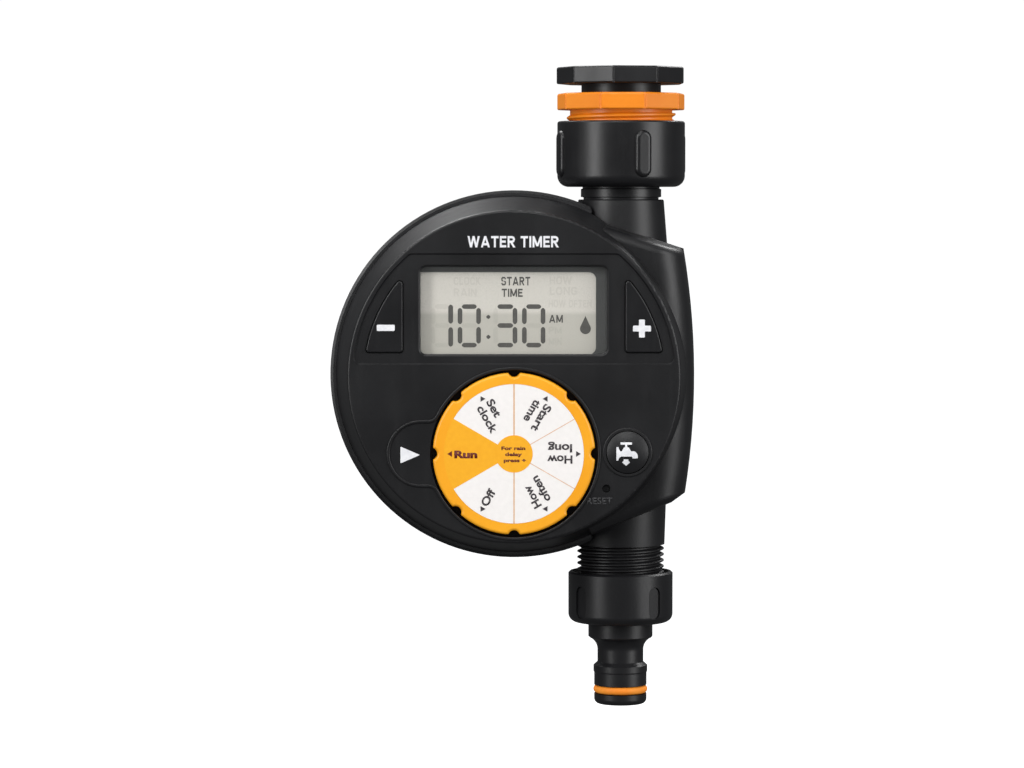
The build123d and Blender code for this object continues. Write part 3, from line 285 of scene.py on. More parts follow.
def faint_segment():
    """Segments that are off: a shade darker than the cell behind them, with the cell's painted reflection
    above and painted shade below.
    """
    made = Finish("segment_off", Specular_IOR_Level=0.3)
    # painted light: the same step as the cell's, lighter above as painted reflection and darker below as
    # painted shade
    painted_light_share = made.span(made.axis("Z"), *PAINTED_LIGHT_STEP)
    tone = made.mix(painted_light_share, rgb(178, 175, 165), rgb(199, 195, 186))
    made.colour(made.mix(made.span(made.noise(2200.0, 1.0), 0.4, 0.8, 0.0, 0.4), tone, rgb(190, 187, 177)))
    made.rough(made.span(made.noise(300.0, 2.0), 0.3, 0.7, 0.42, 0.52))
    return made.material


BLACK, BLACK_DEEP = rgb(23, 23, 25), rgb(17, 17, 19)
FINISHES = {
    "case_black": moulded("case_black", BLACK, BLACK_DEEP, 0.42),
    "key_black": moulded("key_black", rgb(25, 25, 27), rgb(19, 19, 21), 0.36, 0.6),
    "grip_black": moulded("grip_black", rgb(25, 25, 27), rgb(19, 19, 21), 0.36),
    "coupling_orange": moulded("coupling_orange", rgb(245, 145, 24), rgb(236, 129, 16), 0.38, 0.8),
    "dial_orange": moulded("dial_orange", rgb(249, 173, 30), rgb(244, 163, 25), 0.36, 0.7),
    "label_print": printed("label_print", rgb(243, 239, 236), rgb(239, 235, 232), 0.42),
    "clear_window": display_glass(),
    "lcd": liquid_crystal(),
    "frame_grey": moulded("frame_grey", rgb(59, 60, 59), rgb(51, 52, 51), 0.5),
    "board_green": circuit_green(),
    "chip_black": moulded("chip_black", rgb(34, 34, 36), rgb(24, 24, 26), 0.5, 0.8),
    "steel": metal("steel", rgb(196, 196, 198), rgb(150, 150, 154), 0.3, (1.0, 1.0, 0.15)),
    "contact_metal": metal("contact_metal", rgb(214, 208, 192), rgb(176, 168, 148), 0.26),
    "copper": winding_copper(),
    "rubber_black": rubber("rubber_black", rgb(36, 36, 38), rgb(27, 27, 28)),
    "rubber_orange": rubber("rubber_orange", rgb(250, 156, 48), rgb(243, 138, 34)),
    "cell_wrap": cell_sleeve(),
    "nylon_white": moulded("nylon_white", rgb(232, 230, 222), rgb(214, 211, 202), 0.42),
    "lead_red": rubber("lead_red", rgb(186, 28, 24), rgb(150, 20, 18)),
}
INKS = {
    "ink_white": printed("ink_white", rgb(238, 238, 240), rgb(222, 222, 226)),
    "ink_grey": printed("ink_grey", rgb(52, 47, 50), rgb(64, 58, 62)),
    "ink_maroon": printed("ink_maroon", rgb(94, 20, 16), rgb(110, 30, 22)),
    "ink_orange": printed("ink_orange", rgb(247, 177, 31), rgb(243, 170, 27), 0.42),
    "ink_rule": printed("ink_rule", rgb(226, 182, 142), rgb(216, 168, 124)),
    "segment_on": printed("segment_on", rgb(66, 64, 60), rgb(76, 74, 69), 0.4),
    "reset_print": printed("reset_print", rgb(54, 54, 56), rgb(46, 46, 48)),
    "segment_off": faint_segment(),
}
for part in frame["record"]["subparts"]:
    shown = frame["nodes"].get(part["node"])
    if shown is not None:
        for holder in shown.material_slots:
            holder.material = FINISHES[part["material_slot"]]


# ---- mesh helpers -----------------------------------------------------------------------
FRONT = Matrix(((1, 0, 0), (0, 0, -1), (0, 1, 0))).to_4x4()    # drawing plane to face, towards -Y
LAYERS = 16                     # plates of one letter never share a layer


def piece(name, mesh, body, finish):
    """A mesh as a named piece that rides on a body."""
    made = bpy.data.objects.new(name, mesh)
    bpy.context.scene.collection.objects.link(made)
    mesh.materials.clear()
    mesh.materials.append(finish)
    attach(made, body)
    return made


def solid_mesh(name, points, faces):
    """A mesh from points in millimetres."""
    mesh = bpy.data.meshes.new(name)
    mesh.from_pydata([[c * MM for c in p] for p in points], [], faces)
    mesh.validate()
    mesh.update()
    return mesh


def prism(outlines, front, back, layer=0.0):
    """Points and faces of flat plates, each from an outline of (x, z), between two y planes.
    Plates that overlap stand a layer in front of each other, so no two faces share a plane."""
    points, faces = [], []
    for number, outline in enumerate(outlines):
        face = front - layer * (number % LAYERS)
        area = sum(a[0] * b[1] - b[0] * a[1] for a, b in zip(outline, outline[1:] + outline[:1]))
        line = list(outline) if area > 0 else list(reversed(outline))
        base, count = len(points), len(line)
        points += [(x, face, z) for x, z in line] + [(x, back, z) for x, z in line]
        faces.append([base + i for i in range(count)])
        faces.append([base + count + i for i in reversed(range(count))])
        for i in range(count):
            j = (i + 1) % count
            faces.append([base + j, base + i, base + count + i, base + count + j])
    return points, faces


def plates(name, outlines, front, back, body, finish, layer=0.0):
    points, faces = prism(outlines, front, back, layer)
    return piece(name, solid_mesh(name, points, faces), body, finish)


def arc(radius, start, end, centre=(0.0, 0.0), steps=48):
    """Points along an arc, from one angle to another in degrees."""
    return [(centre[0] + radius * math.cos(math.radians(start + (end - start) * i / steps)),
             centre[1] + radius * math.sin(math.radians(start + (end - start) * i / steps)))
            for i in range(steps + 1)]


def circle(radius, centre, steps=48):
    return arc(radius, 0, 360, centre, steps)[:-1]


def rounded(outline, radius, steps=5):
    """The outline with its corners cut back and rounded by quadratic arcs."""
    made = []
    for i, corner in enumerate(outline):
        here = Vector(corner)
        before, after = Vector(outline[i - 1]), Vector(outline[(i + 1) % len(outline)])
        back = here + (before - here).normalized() * min(radius, (before - here).length * 0.49)
        ahead = here + (after - here).normalized() * min(radius, (after - here).length * 0.49)
        for k in range(steps + 1):
            t = k / steps
            made.append(tuple(back * (1 - t) ** 2 + here * 2 * t * (1 - t) + ahead * t ** 2))
    return made


def turned(points, angle, centre):
    """Points about the origin, turned by an angle in degrees and moved to centre."""
    c, s = math.cos(math.radians(angle)), math.sin(math.radians(angle))
    return [(centre[0] + x * c - z * s, centre[1] + x * s + z * c) for x, z in points]


def rectangle(x0, x1, z0, z1):
    return [(x0, z0), (x1, z0), (x1, z1), (x0, z1)]


def glyphs(name, text, bold):
    """A flat mesh of the words in the drawing plane, with their strokes made bolder."""
    curve = bpy.data.curves.new(name, "FONT")
    curve.body = text
    curve.size = 1.0
    curve.offset = bold
    curve.resolution_u = 6
    holder = bpy.data.objects.new(name, curve)
    bpy.context.scene.collection.objects.link(holder)
    bpy.context.view_layer.update()
    mesh = bpy.data.meshes.new_from_object(holder.evaluated_get(bpy.context.evaluated_depsgraph_get()))
    bpy.data.objects.remove(holder)
    bpy.data.curves.remove(curve)
    return mesh


def extents(mesh):
    xs = [v.co.x for v in mesh.vertices]
    ys = [v.co.y for v in mesh.vertices]
    return min(xs), max(xs), min(ys), max(ys)


def capital_height(bold):
    """The foot and the height of a capital letter."""
    sample = glyphs("sample", "H", bold)
    low, high = extents(sample)[2:]
    bpy.data.meshes.remove(sample)
    return low, high - low


def words(name, text, left, right, base, cap, y, body, finish, bold, angle=0.0, centre=(0.0, 0.0), depth=INK):
    """Printed words that fill left..right, standing on base, cap high, then turned about centre."""
    mesh = glyphs(name, text, bold)
    x_low, x_high = extents(mesh)[:2]
    foot, height = capital_height(bold)
    wide, tall = (right - left) / (x_high - x_low), cap / height
    shift = Matrix.Translation((left - x_low * wide, base - foot * tall, 0))
    spin = Matrix.Translation((centre[0], centre[1], 0)) @ Matrix.Rotation(math.radians(angle), 4, "Z")
    mesh.transform(spin @ shift @ Matrix.Diagonal((wide, tall, 1, 1)))
    made = piece(name, mesh, body, finish)
    thick = made.modifiers.new("ink", "SOLIDIFY")
    thick.thickness = depth
    thick.offset = 1.0
    bpy.context.view_layer.update()
    done = bpy.data.meshes.new_from_object(made.evaluated_get(bpy.context.evaluated_depsgraph_get()))
    made.modifiers.clear()
    made.data = done
    bpy.data.meshes.remove(mesh)
    done.transform(Matrix.Scale(MM, 4) @ Matrix.Translation((0, y, 0)) @ FRONT)
    done.update()
    return made


# ---- face print -------------------------------------------------------------------------
def pen_lines(*points):
    """Straight lines from each point to the next."""
    return [[a, b] for a, b in zip(points, points[1:])]


def level(height, end, start=0.1):
    return [(start, height), (end, height)]


def upright(x):
    return [(x, 0.0), (x, 1.0)]


STEM = upright(0.1)
BOWL = pen_lines((0.0, 0.9), (0.48, 0.9), (0.62, 0.84), (0.68, 0.72), (0.62, 0.56), (0.48, 0.5), (0.0, 0.5))
CAPITALS = {                    # width, then pen lines, for letters one unit tall
    "W": (1.25, pen_lines((0.08, 1.0), (0.34, 0.0), (0.62, 1.0), (0.91, 0.0), (1.17, 1.0))),
    "A": (0.95, pen_lines((0.1, 0.0), (0.47, 1.0), (0.85, 0.0)) + [level(0.28, 0.72, 0.22)]),
    "T": (0.78, [level(0.9, 0.78, 0.0), [(0.39, 0.0), (0.39, 0.9)]]),
    "E": (0.68, [STEM, level(0.9, 0.68), level(0.51, 0.62), level(0.1, 0.68)]),
    "R": (0.8, [STEM, [(0.38, 0.46), (0.7, 0.0)]] + BOWL),
    "I": (0.2, [STEM]),
    "S": (0.76, pen_lines((0.66, 0.76), (0.56, 0.9), (0.2, 0.9), (0.1, 0.8), (0.1, 0.62), (0.2, 0.54),
                          (0.56, 0.46), (0.66, 0.38), (0.66, 0.2), (0.56, 0.1), (0.2, 0.1), (0.1, 0.24))),
    "C": (0.8, pen_lines((0.7, 0.72), (0.58, 0.9), (0.24, 0.9), (0.1, 0.74), (0.1, 0.26), (0.24, 0.1),
                         (0.58, 0.1), (0.7, 0.28))),
    "O": (0.84, pen_lines((0.26, 0.9), (0.58, 0.9), (0.74, 0.72), (0.74, 0.28), (0.58, 0.1), (0.26, 0.1),
                          (0.1, 0.28), (0.1, 0.72), (0.26, 0.9))),
    "L": (0.64, [STEM, level(0.1, 0.64)]),
    "F": (0.64, [STEM, level(0.9, 0.64), level(0.5, 0.58)]),
    "H": (0.8, [STEM, upright(0.7), level(0.5, 0.7)]),
    "N": (0.8, [STEM, upright(0.7), [(0.1, 0.94), (0.7, 0.06)]]),
    "K": (0.78, [STEM, [(0.1, 0.36), (0.66, 1.0)], [(0.3, 0.52), (0.7, 0.0)]]),
    "P": (0.76, [STEM] + BOWL),
    "M": (1.0, [STEM, upright(0.9), [(0.12, 0.94), (0.5, 0.1)], [(0.5, 0.1), (0.88, 0.94)]]),
    "G": (0.84, pen_lines((0.7, 0.74), (0.58, 0.9), (0.24, 0.9), (0.1, 0.74), (0.1, 0.26), (0.24, 0.1),
                          (0.58, 0.1), (0.72, 0.24), (0.72, 0.46), (0.46, 0.46))),
    " ": (0.3, []),
}
PEN, PEN_LAYER = 0.2, 0.001     # width of a line in letter heights; one plate's step over the next
LETTER_GAP, SHORT_LINE, CORNER_FILL, FLATTEST = 0.14, 0.36, 0.05, 0.55


def capitals(text, left, right, base, cap):
    """Outlines of bold capitals that fill left..right, from straight pen lines. Short lines, which make the
    curves, run on a little into the next, and long sloping ones end level."""
    run = sum(CAPITALS[c][0] + LETTER_GAP for c in text) - LETTER_GAP
    wide, at, made = (right - left) / run, 0.0, []
    for letter in text:
        width, lines = CAPITALS[letter]
        for (ax, az), (bx, bz) in lines:
            reach = Vector((bx - ax, bz - az))
            along, tail = reach.normalized(), Vector((0.0, 0.0))
            across = Vector((-along.y, along.x)) * PEN / 2
            if reach.length < SHORT_LINE:
                tail = along * CORNER_FILL
            elif abs(along.y) > 0.1:
                across = Vector((PEN / 2 / max(abs(along.y), FLATTEST), 0.0))
            first, last = Vector((ax, az)) - tail, Vector((bx, bz)) + tail
            quad = [first - across, last - across, last + across, first + across]
            made.append([(left + (at + p.x) * wide, base + p.y * cap) for p in quad])
        at += width + LETTER_GAP
    return made


plates("title_print", capitals("WATER TIMER", -46.2, -19.3, -54.15, 3.35), FACE_Y - INK, FACE_Y, "casing",
       INKS["ink_white"], layer=PEN_LAYER)
words("reset_mark", "RESET", -10.9, -3.3, -130.4, 2.0, FACE_Y, "casing", INKS["reset_print"], 0.02, depth=0.1)
plates("pointer_print", [rounded([(-66.2, -113.2), (-66.2, -118.2), (-60.4, -115.7)], 0.35)],
       FACE_Y - INK, FACE_Y, "casing", INKS["ink_white"])
plates("minus_sign", [rounded(rectangle(-73.17, -67.84, -78.88, -77.05), 0.35)],
       KEY_Y - INK, KEY_Y, "minus_key", INKS["ink_white"])
PLUS_X, PLUS_Z, PLUS_R, PLUS_W = 5.39, -78.18, 2.66, 0.86      # middle, half length and half width
cross = [(PLUS_W, PLUS_W), (PLUS_W, PLUS_R), (-PLUS_W, PLUS_R), (-PLUS_W, PLUS_W), (-PLUS_R, PLUS_W),
         (-PLUS_R, -PLUS_W), (-PLUS_W, -PLUS_W), (-PLUS_W, -PLUS_R), (PLUS_W, -PLUS_R), (PLUS_W, -PLUS_W),
         (PLUS_R, -PLUS_W), (PLUS_R, PLUS_W)]
plates("plus_sign", [rounded([(PLUS_X + x, PLUS_Z + z) for x, z in cross], 0.3)],
       KEY_Y - INK, KEY_Y, "plus_key", INKS["ink_white"])

# ---- tap icon, laid on the manual button's dome -----------------------------------------
TAP = [
    (-3.35, 1.66), (-2.75, 1.66),                                               # flange at the wall
    (-2.58, 1.04), (-2.18, 0.36), (-1.79, 0.36), (-1.45, 0.92), (-1.2, 1.43),   # pipe and shoulder
    (-0.77, 1.63), (-0.77, 2.34), (-2.15, 2.34), (-2.15, 3.02),                 # spindle and handle, left
    (1.25, 3.02), (1.25, 2.34), (-0.17, 2.34), (-0.17, 1.63),                   # and right
    (0.36, 1.43), (0.7, 0.87), (0.99, 0.36), (1.89, 0.41),                      # shoulder
    (2.46, 0.07), (2.85, -0.49), (2.97, -1.11), (2.97, -1.74),                  # outside of the spout
    (1.47, -1.74), (1.38, -1.45), (1.18, -1.17),                                # inside of the spout
    (-2.01, -1.17), (-2.41, -1.51), (-2.71, -1.96), (-2.8, -2.41), (-3.35, -2.41),    # underside
]
ARROW = [(-1.2, -2.02), (0.19, -2.02), (0.19, -2.47), (0.68, -2.92), (-0.48, -3.94), (-1.65, -2.92),
         (-1.2, -2.47)]


def on_dome(name, outlines, body, finish):
    """Narrow plates laid on the button's domed top."""
    points, faces = prism(outlines, 0.0, INK)
    laid = []
    for x, back, z in points:
        dome = DOME_CENTRE_Y - math.sqrt(DOME_R ** 2 - x * x - z * z)
        laid.append((BUTTON[0] + x, dome + back - INK - DOME_LIFT, BUTTON[1] + z))
    return piece(name, solid_mesh(name, laid, faces), body, finish)


def heights(outline, x):
    """Pairs of heights between which an upright at x lies inside the outline."""
    cuts = []
    for (ax, az), (bx, bz) in zip(outline, outline[1:] + outline[:1]):
        if (ax <= x < bx) or (bx <= x < ax):
            cuts.append(az + (bz - az) * (x - ax) / (bx - ax))
    cuts.sort()
    return list(zip(cuts[::2], cuts[1::2]))


def clipped(outline, x0, x1, inside=1e-4):
    """The parts of the outline between two uprights with no corner between them, as quads."""
    left, right = heights(outline, x0 + inside), heights(outline, x1 - inside)
    return [[(x0, a), (x1, c), (x1, d), (x0, b)] for (a, b), (c, d) in zip(left, right)]


def strips_of(outline):
    """Small plates with a cut at every corner of the outline and at even steps between, both ways."""
    edges = sorted({round(x, 4) for x, _ in outline})
    strips = []
    for x0, x1 in zip(edges, edges[1:]):
        count = max(1, math.ceil((x1 - x0) / DOME_STEP))
        for i in range(count):
            for quad in clipped(outline, x0 + (x1 - x0) * i / count, x0 + (x1 - x0) * (i + 1) / count):
                (xa, a), (xb, c), (_, d), (_, b) = quad
                rows = max(1, math.ceil(max(b - a, d - c) / DOME_STEP))
                for k in range(rows):
                    low, high = k / rows, (k + 1) / rows
                    strips.append([(xa, a + (b - a) * low), (xb, c + (d - c) * low),
                                   (xb, c + (d - c) * high), (xa, a + (b - a) * high)])
    return strips


on_dome("tap_print", strips_of(TAP) + strips_of(ARROW), "manual_key", INKS["ink_white"])

# ---- dial print -------------------------------------------------------------------------
UNDER_HUB, OVER_RIM, OVER_EDGE = 0.3, 0.08, 0.2      # overlaps of the coloured sector; the last in degrees
sector = arc(HUB_R - UNDER_HUB, 210, 150, DIAL, 12)
sector += arc(LABEL_R + OVER_RIM, 150 - OVER_EDGE, 210 + OVER_EDGE, DIAL)
plates("run_sector", [sector], LABEL_Y - INK, LABEL_Y, "dial_assembly", INKS["ink_orange"])
plates("hub_print", [circle(HUB_R, DIAL)], LABEL_Y - 1.5 * INK, LABEL_Y, "dial_assembly",
       INKS["ink_orange"])
rules = [turned(rectangle(HUB_R, LABEL_R, -w / 2, w / 2), a, DIAL)
         for a, w in ((90, 0.42), (-90, 0.36), (30, 0.2), (-30, 0.2))]
plates("dial_rules", rules, LABEL_Y - 0.75 * INK, LABEL_Y, "dial_assembly", INKS["ink_rule"])
# Angle, ink, boldness and capital height, then words with their ends from the axis and their base line.
SECTORS = [
    (180, "ink_maroon", 0.05, 2.3, [("Run", 17.7, 10.9, -1.3)]),
    (120, "ink_grey", 0.026, 2.45, [("Set", 17.5, 12.0, 0.44), ("clock", 17.3, 8.5, -2.89)]),
    (60, "ink_grey", 0.026, 2.45, [("Start", 17.6, 9.0, 0.44), ("time", 17.3, 10.35, -2.89)]),
    (0, "ink_grey", 0.026, 2.45, [("How", 17.3, 9.86, 0.44), ("long", 17.2, 10.1, -2.89)]),
    (-60, "ink_grey", 0.026, 2.45, [("How", 17.3, 10.2, 0.44), ("often", 17.1, 8.9, -2.89)]),
    (240, "ink_grey", 0.026, 2.45, [("Off", 17.7, 12.4, -1.05)]),
]
TRIANGLE = [(-19.8, 0.0), (-18.4, 0.85), (-18.4, -0.85)]
for angle, ink, bold, cap, lines in SECTORS:
    for text, rim, hub, base in lines:
        words(f"dial_word_{angle % 360}_{text.lower()}", text, -rim, -hub, base, cap, LABEL_Y - INK,
              "dial_assembly", INKS[ink], bold, angle - 180, DIAL)
    plates(f"dial_arrow_{angle % 360}", [turned(TRIANGLE, angle - 180, DIAL)], LABEL_Y - 2 * INK, LABEL_Y,
           "dial_assembly", INKS[ink])
HUB_WORDS = [("For rain", -3.75, 3.35), ("delay", -2.65, 2.4), ("press +", -3.05, 3.55)]
HUB_BASE, HUB_PITCH, HUB_CAP = 1.15, 1.8, 1.08
for line, (text, left, right) in enumerate(HUB_WORDS):
    words(f"hub_words_{line}", text, left, right, HUB_BASE - HUB_PITCH * line, HUB_CAP, LABEL_Y - 1.5 * INK,
          "dial_assembly", INKS["ink_maroon"], 0.04, 0.0, DIAL)

# ---- display graphics -------------------------------------------------------------------
SEGMENT_W, SEGMENT_INSET, SEGMENT_POINT, SEGMENT_ROUND = 1.37, 1.1, 0.42, 0.45
LEVEL_TOPS = {"a": -71.11, "g": -76.73, "d": -82.55}
UPRIGHT_ENDS = {"f": (-77.14, -72.06), "b": (-77.14, -72.06), "e": (-82.94, -77.71), "c": (-82.94, -77.71)}
LEADING, HOURS, TENS, MINUTES = (-57.26, -50.61), (-49.24, -42.35), (-38.66, -31.53), (-30.11, -23.19)
COLON_X, COLON_R = -40.12, 0.74
DROP_X, DROP_Z, DROP_R, DROP_TIP = -11.27, -78.36, 1.62, -74.56


def bar(x0, x1, z0, z1):
    """A slim six-sided segment with pointed, rounded ends along its longer side."""
    if x1 - x0 > z1 - z0:
        mid, end = (z0 + z1) / 2, (z1 - z0) * SEGMENT_POINT
        line = [(x0, mid), (x0 + end, z0), (x1 - end, z0), (x1, mid), (x1 - end, z1), (x0 + end, z1)]
    else:
        mid, end = (x0 + x1) / 2, (x1 - x0) * SEGMENT_POINT
        line = [(mid, z0), (x1, z0 + end), (x1, z1 - end), (mid, z1), (x0, z1 - end), (x0, z0 + end)]
    return rounded(line, SEGMENT_ROUND, 4)


def digit(sides, lit):
    """Outlines of the lit segments, named as usual, of a seven-segment digit between its two sides."""
    left, right = sides
    made = []
    for name in lit:
        if name in LEVEL_TOPS:
            top = LEVEL_TOPS[name]
            made.append(bar(left + SEGMENT_INSET, right - SEGMENT_INSET, top - SEGMENT_W, top))
        elif name in "fe":
            made.append(bar(left, left + SEGMENT_W, *UPRIGHT_ENDS[name]))
        else:
            made.append(bar(right - SEGMENT_W, right, *UPRIGHT_ENDS[name]))
    return made


def dot(x, z, reach):
    return rounded([(x - reach, z), (x, z + reach), (x + reach, z), (x, z - reach)], 0.3, 3)


one = [bar(-52.03, -50.61, low, high) for low, high in ((-76.99, -71.05), (-83.83, -77.77))]
colon = [dot(COLON_X, z, COLON_R) for z in (-74.86, -80.8)]
drop = arc(DROP_R, -215, 35, (DROP_X, DROP_Z), 24) + [(DROP_X, DROP_TIP)]
lit_parts = one + digit(HOURS, "abcdef") + digit(TENS, "abgcd") + digit(MINUTES, "abcdef") + colon + [drop]
plates("lcd_segments", lit_parts, LCD_Y - INK, LCD_Y, "casing", INKS["segment_on"])
LCD_WORDS = [                   # name, text, left, right, base and height, ink
    ("lcd_start", "START", -36.29, -27.67, -65.5, 2.56, "segment_on"),
    ("lcd_time", "TIME", -36.17, -29.93, -68.91, 2.44, "segment_on"),
    ("lcd_am", "AM", -22.06, -17.99, -76.58, 2.32, "segment_on"),
    ("lcd_ghost_set", "CLOCK", -50.43, -42.41, -65.35, 2.38, "segment_off"),
    ("lcd_ghost_now", "RAIN", -50.43, -43.6, -68.76, 2.38, "segment_off"),
    ("lcd_ghost_how", "HOW", -21.91, -15.37, -65.2, 2.38, "segment_off"),
    ("lcd_ghost_long", "LONG", -21.91, -13.59, -68.32, 2.38, "segment_off"),
    ("lcd_ghost_often", "HOW OFTEN", -22.2, -9.43, -72.03, 2.23, "segment_off"),
    ("lcd_ghost_pm", "PM", -22.2, -18.34, -79.91, 2.08, "segment_off"),
    ("lcd_ghost_min", "MIN", -22.2, -18.34, -83.17, 2.08, "segment_off"),
]
for name, text, left, right, base, cap, ink in LCD_WORDS:
    plates(name, capitals(text, left, right, base, cap), LCD_Y - 0.5 * INK, LCD_Y, "casing", INKS[ink],
           layer=PEN_LAYER)
ghost = digit(LEADING, "adefg") + digit(HOURS, "g") + digit(TENS, "ef") + digit(MINUTES, "g")
plates("lcd_ghost_segments", ghost, LCD_Y - 0.4 * INK, LCD_Y, "casing", INKS["segment_off"])


# ---- threads inside the couplings -------------------------------------------------------
RUN_IN = 0.4                    # plain stretch at each end, in pitches
CREST_ROOM = 0.44               # room over the male thread's root
FOOT_SUNK, END_SUNK = 0.15, 0.1                 # depth in the wall of the foot and of the faded ends
HALF_FOOT, HALF_CREST, FADE = 0.36, 0.12, 0.3   # half widths in pitches; fading stretch in turns


def inner_thread(name, bore, root, pitch, phase_z, low, high, body, slot, steps=60):
    """A right-handed helical ridge standing inwards from a bore, faded at both ends. At angle 0 it passes
    phase_z, midway between two turns of the male thread, where the model has one."""
    start = phase_z + math.ceil((low + RUN_IN * pitch - phase_z) / pitch) * pitch
    turns = (high - RUN_IN * pitch - start) / pitch
    count = int(turns * steps)
    foot, crest, sunk = bore + FOOT_SUNK, root + CREST_ROOM, bore + END_SUNK
    profile = ((foot, -HALF_FOOT), (crest, -HALF_CREST), (crest, HALF_CREST), (foot, HALF_FOOT))
    points, faces = [], []
    for i in range(count + 1):
        angle = math.tau * i / steps
        z = start + pitch * i / steps
        fade = min(1.0, i / (FADE * steps), (count - i) / (FADE * steps))
        for r, across in profile:
            radius = sunk + (r - sunk) * fade
            points.append((radius * math.cos(angle), radius * math.sin(angle), z + across * pitch))
    for i in range(count):
        for k in range(4):
            a, b = 4 * i + k, 4 * i + (k + 1) % 4
            faces.append([a, b, b + 4, a + 4])
    faces += [[3, 2, 1, 0], [4 * count + k for k in range(4)]]
    piece(name, solid_mesh(name, points, faces), body, FINISHES[slot])


G12, G34, G1 = (10.5, 8.95, G12_PITCH), (13.45, 12.06, G34_PITCH), (16.85, 15.5, G1_PITCH)   # bore, male root
inner_thread("inlet_thread_ridge", *G12, -14.0, -12.7, -0.3, "small_coupling", "grip_black")
inner_thread("large_thread_ridge", *G34, -16.7, -20.6, -8.3, "large_coupling", "coupling_orange")
inner_thread("nut_thread_ridge", *G1, -24.59, -32.6, -16.7, "swivel_nut", "grip_black")
inner_thread("outlet_thread_ridge", *G34, -163.36, -164.6, -153.5, "outlet_connector", "grip_black")


# ---- valve parts: diaphragm rim on the casing, its middle on the valve core, and the spring ---
VALVE_Z, VALVE_LIFT = -113.5, 1.5
sheet_low, sheet_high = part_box("diaphragm")
RIM_X, BACK_X = sheet_high[0] / MM, sheet_low[0] / MM
RIM_R, DISC_R, STEM_R = 13.8, 8.2, 3.3
FOLD_R, FOLD_OUT, FOLD_IN = 9.6, 1.1, 0.5       # rolled fold between the clamped rim and the moving middle


def rubber_ring(name, section, body, steps=96):
    """A rubber ring turned about the valve's axis from its section, points of x and radius."""
    points, faces, count = [], [], len(section)
    for k in range(steps):
        turn = math.tau * k / steps
        points += [(x, r * math.sin(turn), VALVE_Z + r * math.cos(turn)) for x, r in section]
        for i in range(count):
            here, over = k * count, (k + 1) % steps * count
            faces.append((here + i, over + i, over + (i + 1) % count, here + (i + 1) % count))
    mesh = solid_mesh(name, points, faces)
    mesh.shade_smooth()
    mesh.set_sharp_from_angle(angle=0.6)
    return piece(name, mesh, body, FINISHES["rubber_black"])


def fold(radius, side):
    """Half a ring's section behind the sheet, from its outer side inwards, or outwards for side -1."""
    bends = [math.pi * k / 12 for k in range(13)]
    return [(BACK_X - radius * math.sin(b), FOLD_R + side * radius * math.cos(b)) for b in bends]


rim_section = [(RIM_X, RIM_R), (BACK_X, RIM_R)] + fold(FOLD_OUT, 1)
rim_section += [(RIM_X, FOLD_R - FOLD_OUT), (RIM_X, FOLD_R - FOLD_IN)] + fold(FOLD_IN, -1)
rim_section.append((RIM_X, FOLD_R + FOLD_IN))
rim = rubber_ring("diaphragm_rim", rim_section, "casing")
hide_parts("diaphragm")
rubber_ring("diaphragm_middle", [(RIM_X, DISC_R), (BACK_X, DISC_R), (BACK_X, STEM_R), (RIM_X, STEM_R)],
            "valve_core")

coil = frame["nodes"]["plunger_spring"].data.copy()
spring = piece("plunger_coil", coil, "casing", FINISHES["steel"])
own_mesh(spring)
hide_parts("plunger_spring")

# ---- battery door marks -----------------------------------------------------------------
MARK_W, MARK_H, MARK_LINE = 13.0, 3.8, 0.5      # outline of a cell
CAP_L, CAP_H = 0.9, 1.8
SIGN_X, SIGN_R, SIGN_W = 4.2, 1.0, 0.22         # place, half length and half width of the plus and minus
MARK_SUNK, MARK_RAISED = 0.12, 0.1


def around(x, z, wide, high):
    return rectangle(x - wide, x + wide, z - high, z + high)


def battery_sign(x, z, flip):
    """Outline parts of a cell lying along X with its cap to one side."""
    w, h, t = MARK_W / 2, MARK_H / 2, MARK_LINE
    plus, arm = x + flip * SIGN_X, (SIGN_R - SIGN_W) / 2
    return [rectangle(x - w, x + w, z + h - t, z + h), rectangle(x - w, x + w, z - h, z - h + t),
            rectangle(x - w, x - w + t, z - h + t, z + h - t),
            rectangle(x + w - t, x + w, z - h + t, z + h - t),
            around(x + flip * (w + CAP_L / 2), z, CAP_L / 2, CAP_H / 2),
            around(plus, z, SIGN_R, SIGN_W), around(plus, z + SIGN_W + arm, SIGN_W, arm),
            around(plus, z - SIGN_W - arm, SIGN_W, arm), around(x - flip * SIGN_X, z, SIGN_R, SIGN_W)]


plates("door_marks", battery_sign(-43.0, -88.6, 1) + battery_sign(-43.0, -94.2, -1), DOOR_Y - MARK_SUNK,
       DOOR_Y + MARK_RAISED, "door", FINISHES["case_black"])

# ---- studio -----------------------------------------------------------------------------
scene = bpy.context.scene
scene.view_settings.view_transform = "Standard"
world = bpy.data.worlds.new("studio")
scene.world = world
world.use_nodes = True
nodes, links = world.node_tree.nodes, world.node_tree.links
WHITE, COOL = (1.0, 1.0, 1.0, 1.0), (0.96, 0.98, 1.0, 1.0)


def sky(shader, colour, strength):
    shader.inputs["Color"].default_value = colour
    shader.inputs["Strength"].default_value = strength
    return shader.outputs[0]


def either(ray, no, yes):
    """One background for rays of a kind and another for the rest."""
    made = nodes.new("ShaderNodeMixShader")
    for socket, source in zip(made.inputs, (paths.outputs[ray], no, yes)):
        links.new(source, socket)
    return made.outputs[0]


paths = nodes.new("ShaderNodeLightPath")
backdrop = sky(nodes["Background"], WHITE, 1.02)
room = sky(nodes.new("ShaderNodeBackground"), COOL, 0.3)
reflected = sky(nodes.new("ShaderNodeBackground"), COOL, 0.09)
links.new(either("Is Camera Ray", either("Is Glossy Ray", room, reflected), backdrop),
          nodes["World Output"].inputs["Surface"])

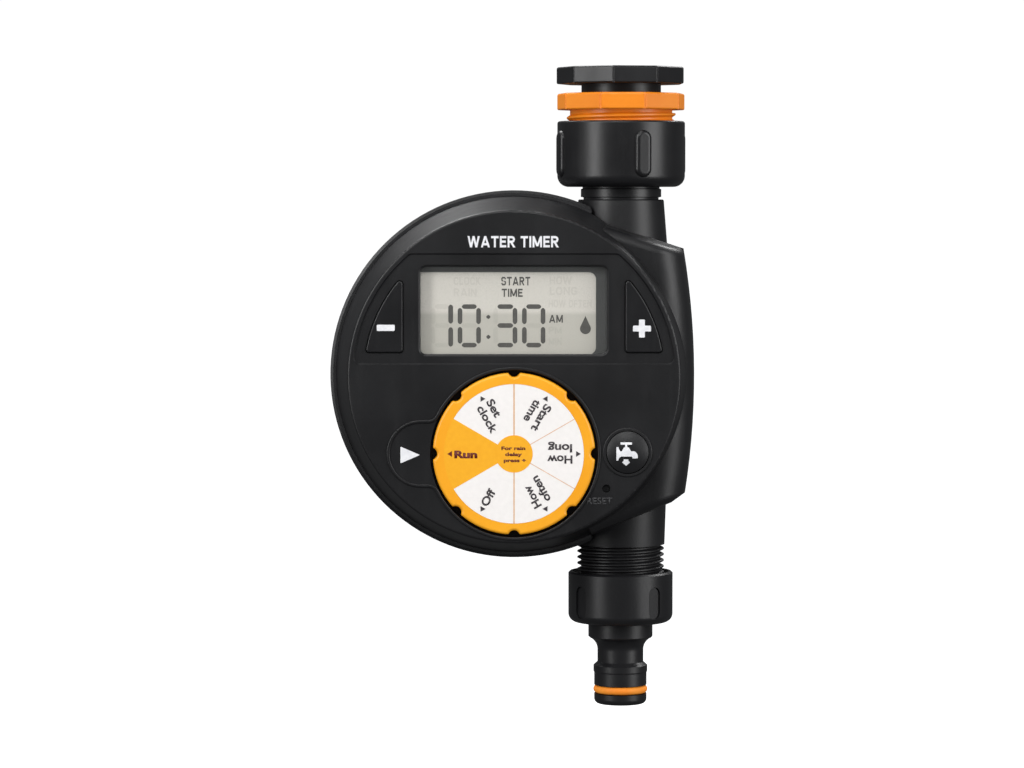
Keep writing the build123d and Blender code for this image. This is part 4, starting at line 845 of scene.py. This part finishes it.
SPAN, FLOOR_Z = 40.0, -0.42      # half its width, and its height, in metres
floor_mesh = bpy.data.meshes.new("floor")
floor_mesh.from_pydata([(x, z, FLOOR_Z) for x, z in rectangle(-SPAN, SPAN, -SPAN, SPAN)], [], [(0, 1, 2, 3)])
floor = bpy.data.objects.new("floor", floor_mesh)
scene.collection.objects.link(floor)
paint = Finish("floor_paint", Roughness=0.9, Emission_Color=WHITE, Emission_Strength=0.85)
paint.colour(paint.mix(paint.noise(3.0), (0.93, 0.93, 0.93, 1.0), (0.97, 0.97, 0.97, 1.0)))
floor_mesh.materials.append(paint.material)
floor.visible_diffuse = False
floor.visible_glossy = False
floor.visible_transmission = False


MIDDLE = (-0.02, 0.0, -0.1)      # what the lamps point at


def aimed(thing, place, target):
    """Stands a lamp or camera at a place, turned towards a target."""
    thing.location = place
    thing.rotation_euler = (Vector(target) - Vector(place)).to_track_quat("-Z", "Y").to_euler()


def softbox(name, place, width, height, power):
    lamp = bpy.data.lights.new(name, "AREA")
    lamp.shape = "RECTANGLE"
    lamp.size, lamp.size_y = width, height
    lamp.energy = power
    made = bpy.data.objects.new(name, lamp)
    scene.collection.objects.link(made)
    aimed(made, place, MIDDLE)


softbox("key_left", (-0.88, -0.72, 0.3), 0.34, 1.1, 9.0)
softbox("fill_right", (0.95, -0.6, 0.15), 0.6, 1.0, 8.2)
softbox("front", (-0.05, -1.3, 0.75), 0.9, 0.4, 4.9)
softbox("top", (-0.2, -0.35, 1.0), 0.7, 0.4, 3.0)
softbox("back_left", (-0.55, 0.75, 1.1), 0.7, 0.5, 13.0)
softbox("back_right", (0.6, 0.8, 0.9), 0.5, 0.5, 9.0)

lens = bpy.data.cameras.new("camera")
lens.sensor_width = 36.0
lens.lens = 133.0
camera = bpy.data.objects.new("camera", lens)
scene.collection.objects.link(camera)
aimed(camera, (-0.0331, -1.150, -0.0395), (-0.0331, 0.0, -0.0961))
lens.clip_start, lens.clip_end = 0.05, 20.0
scene.camera = camera
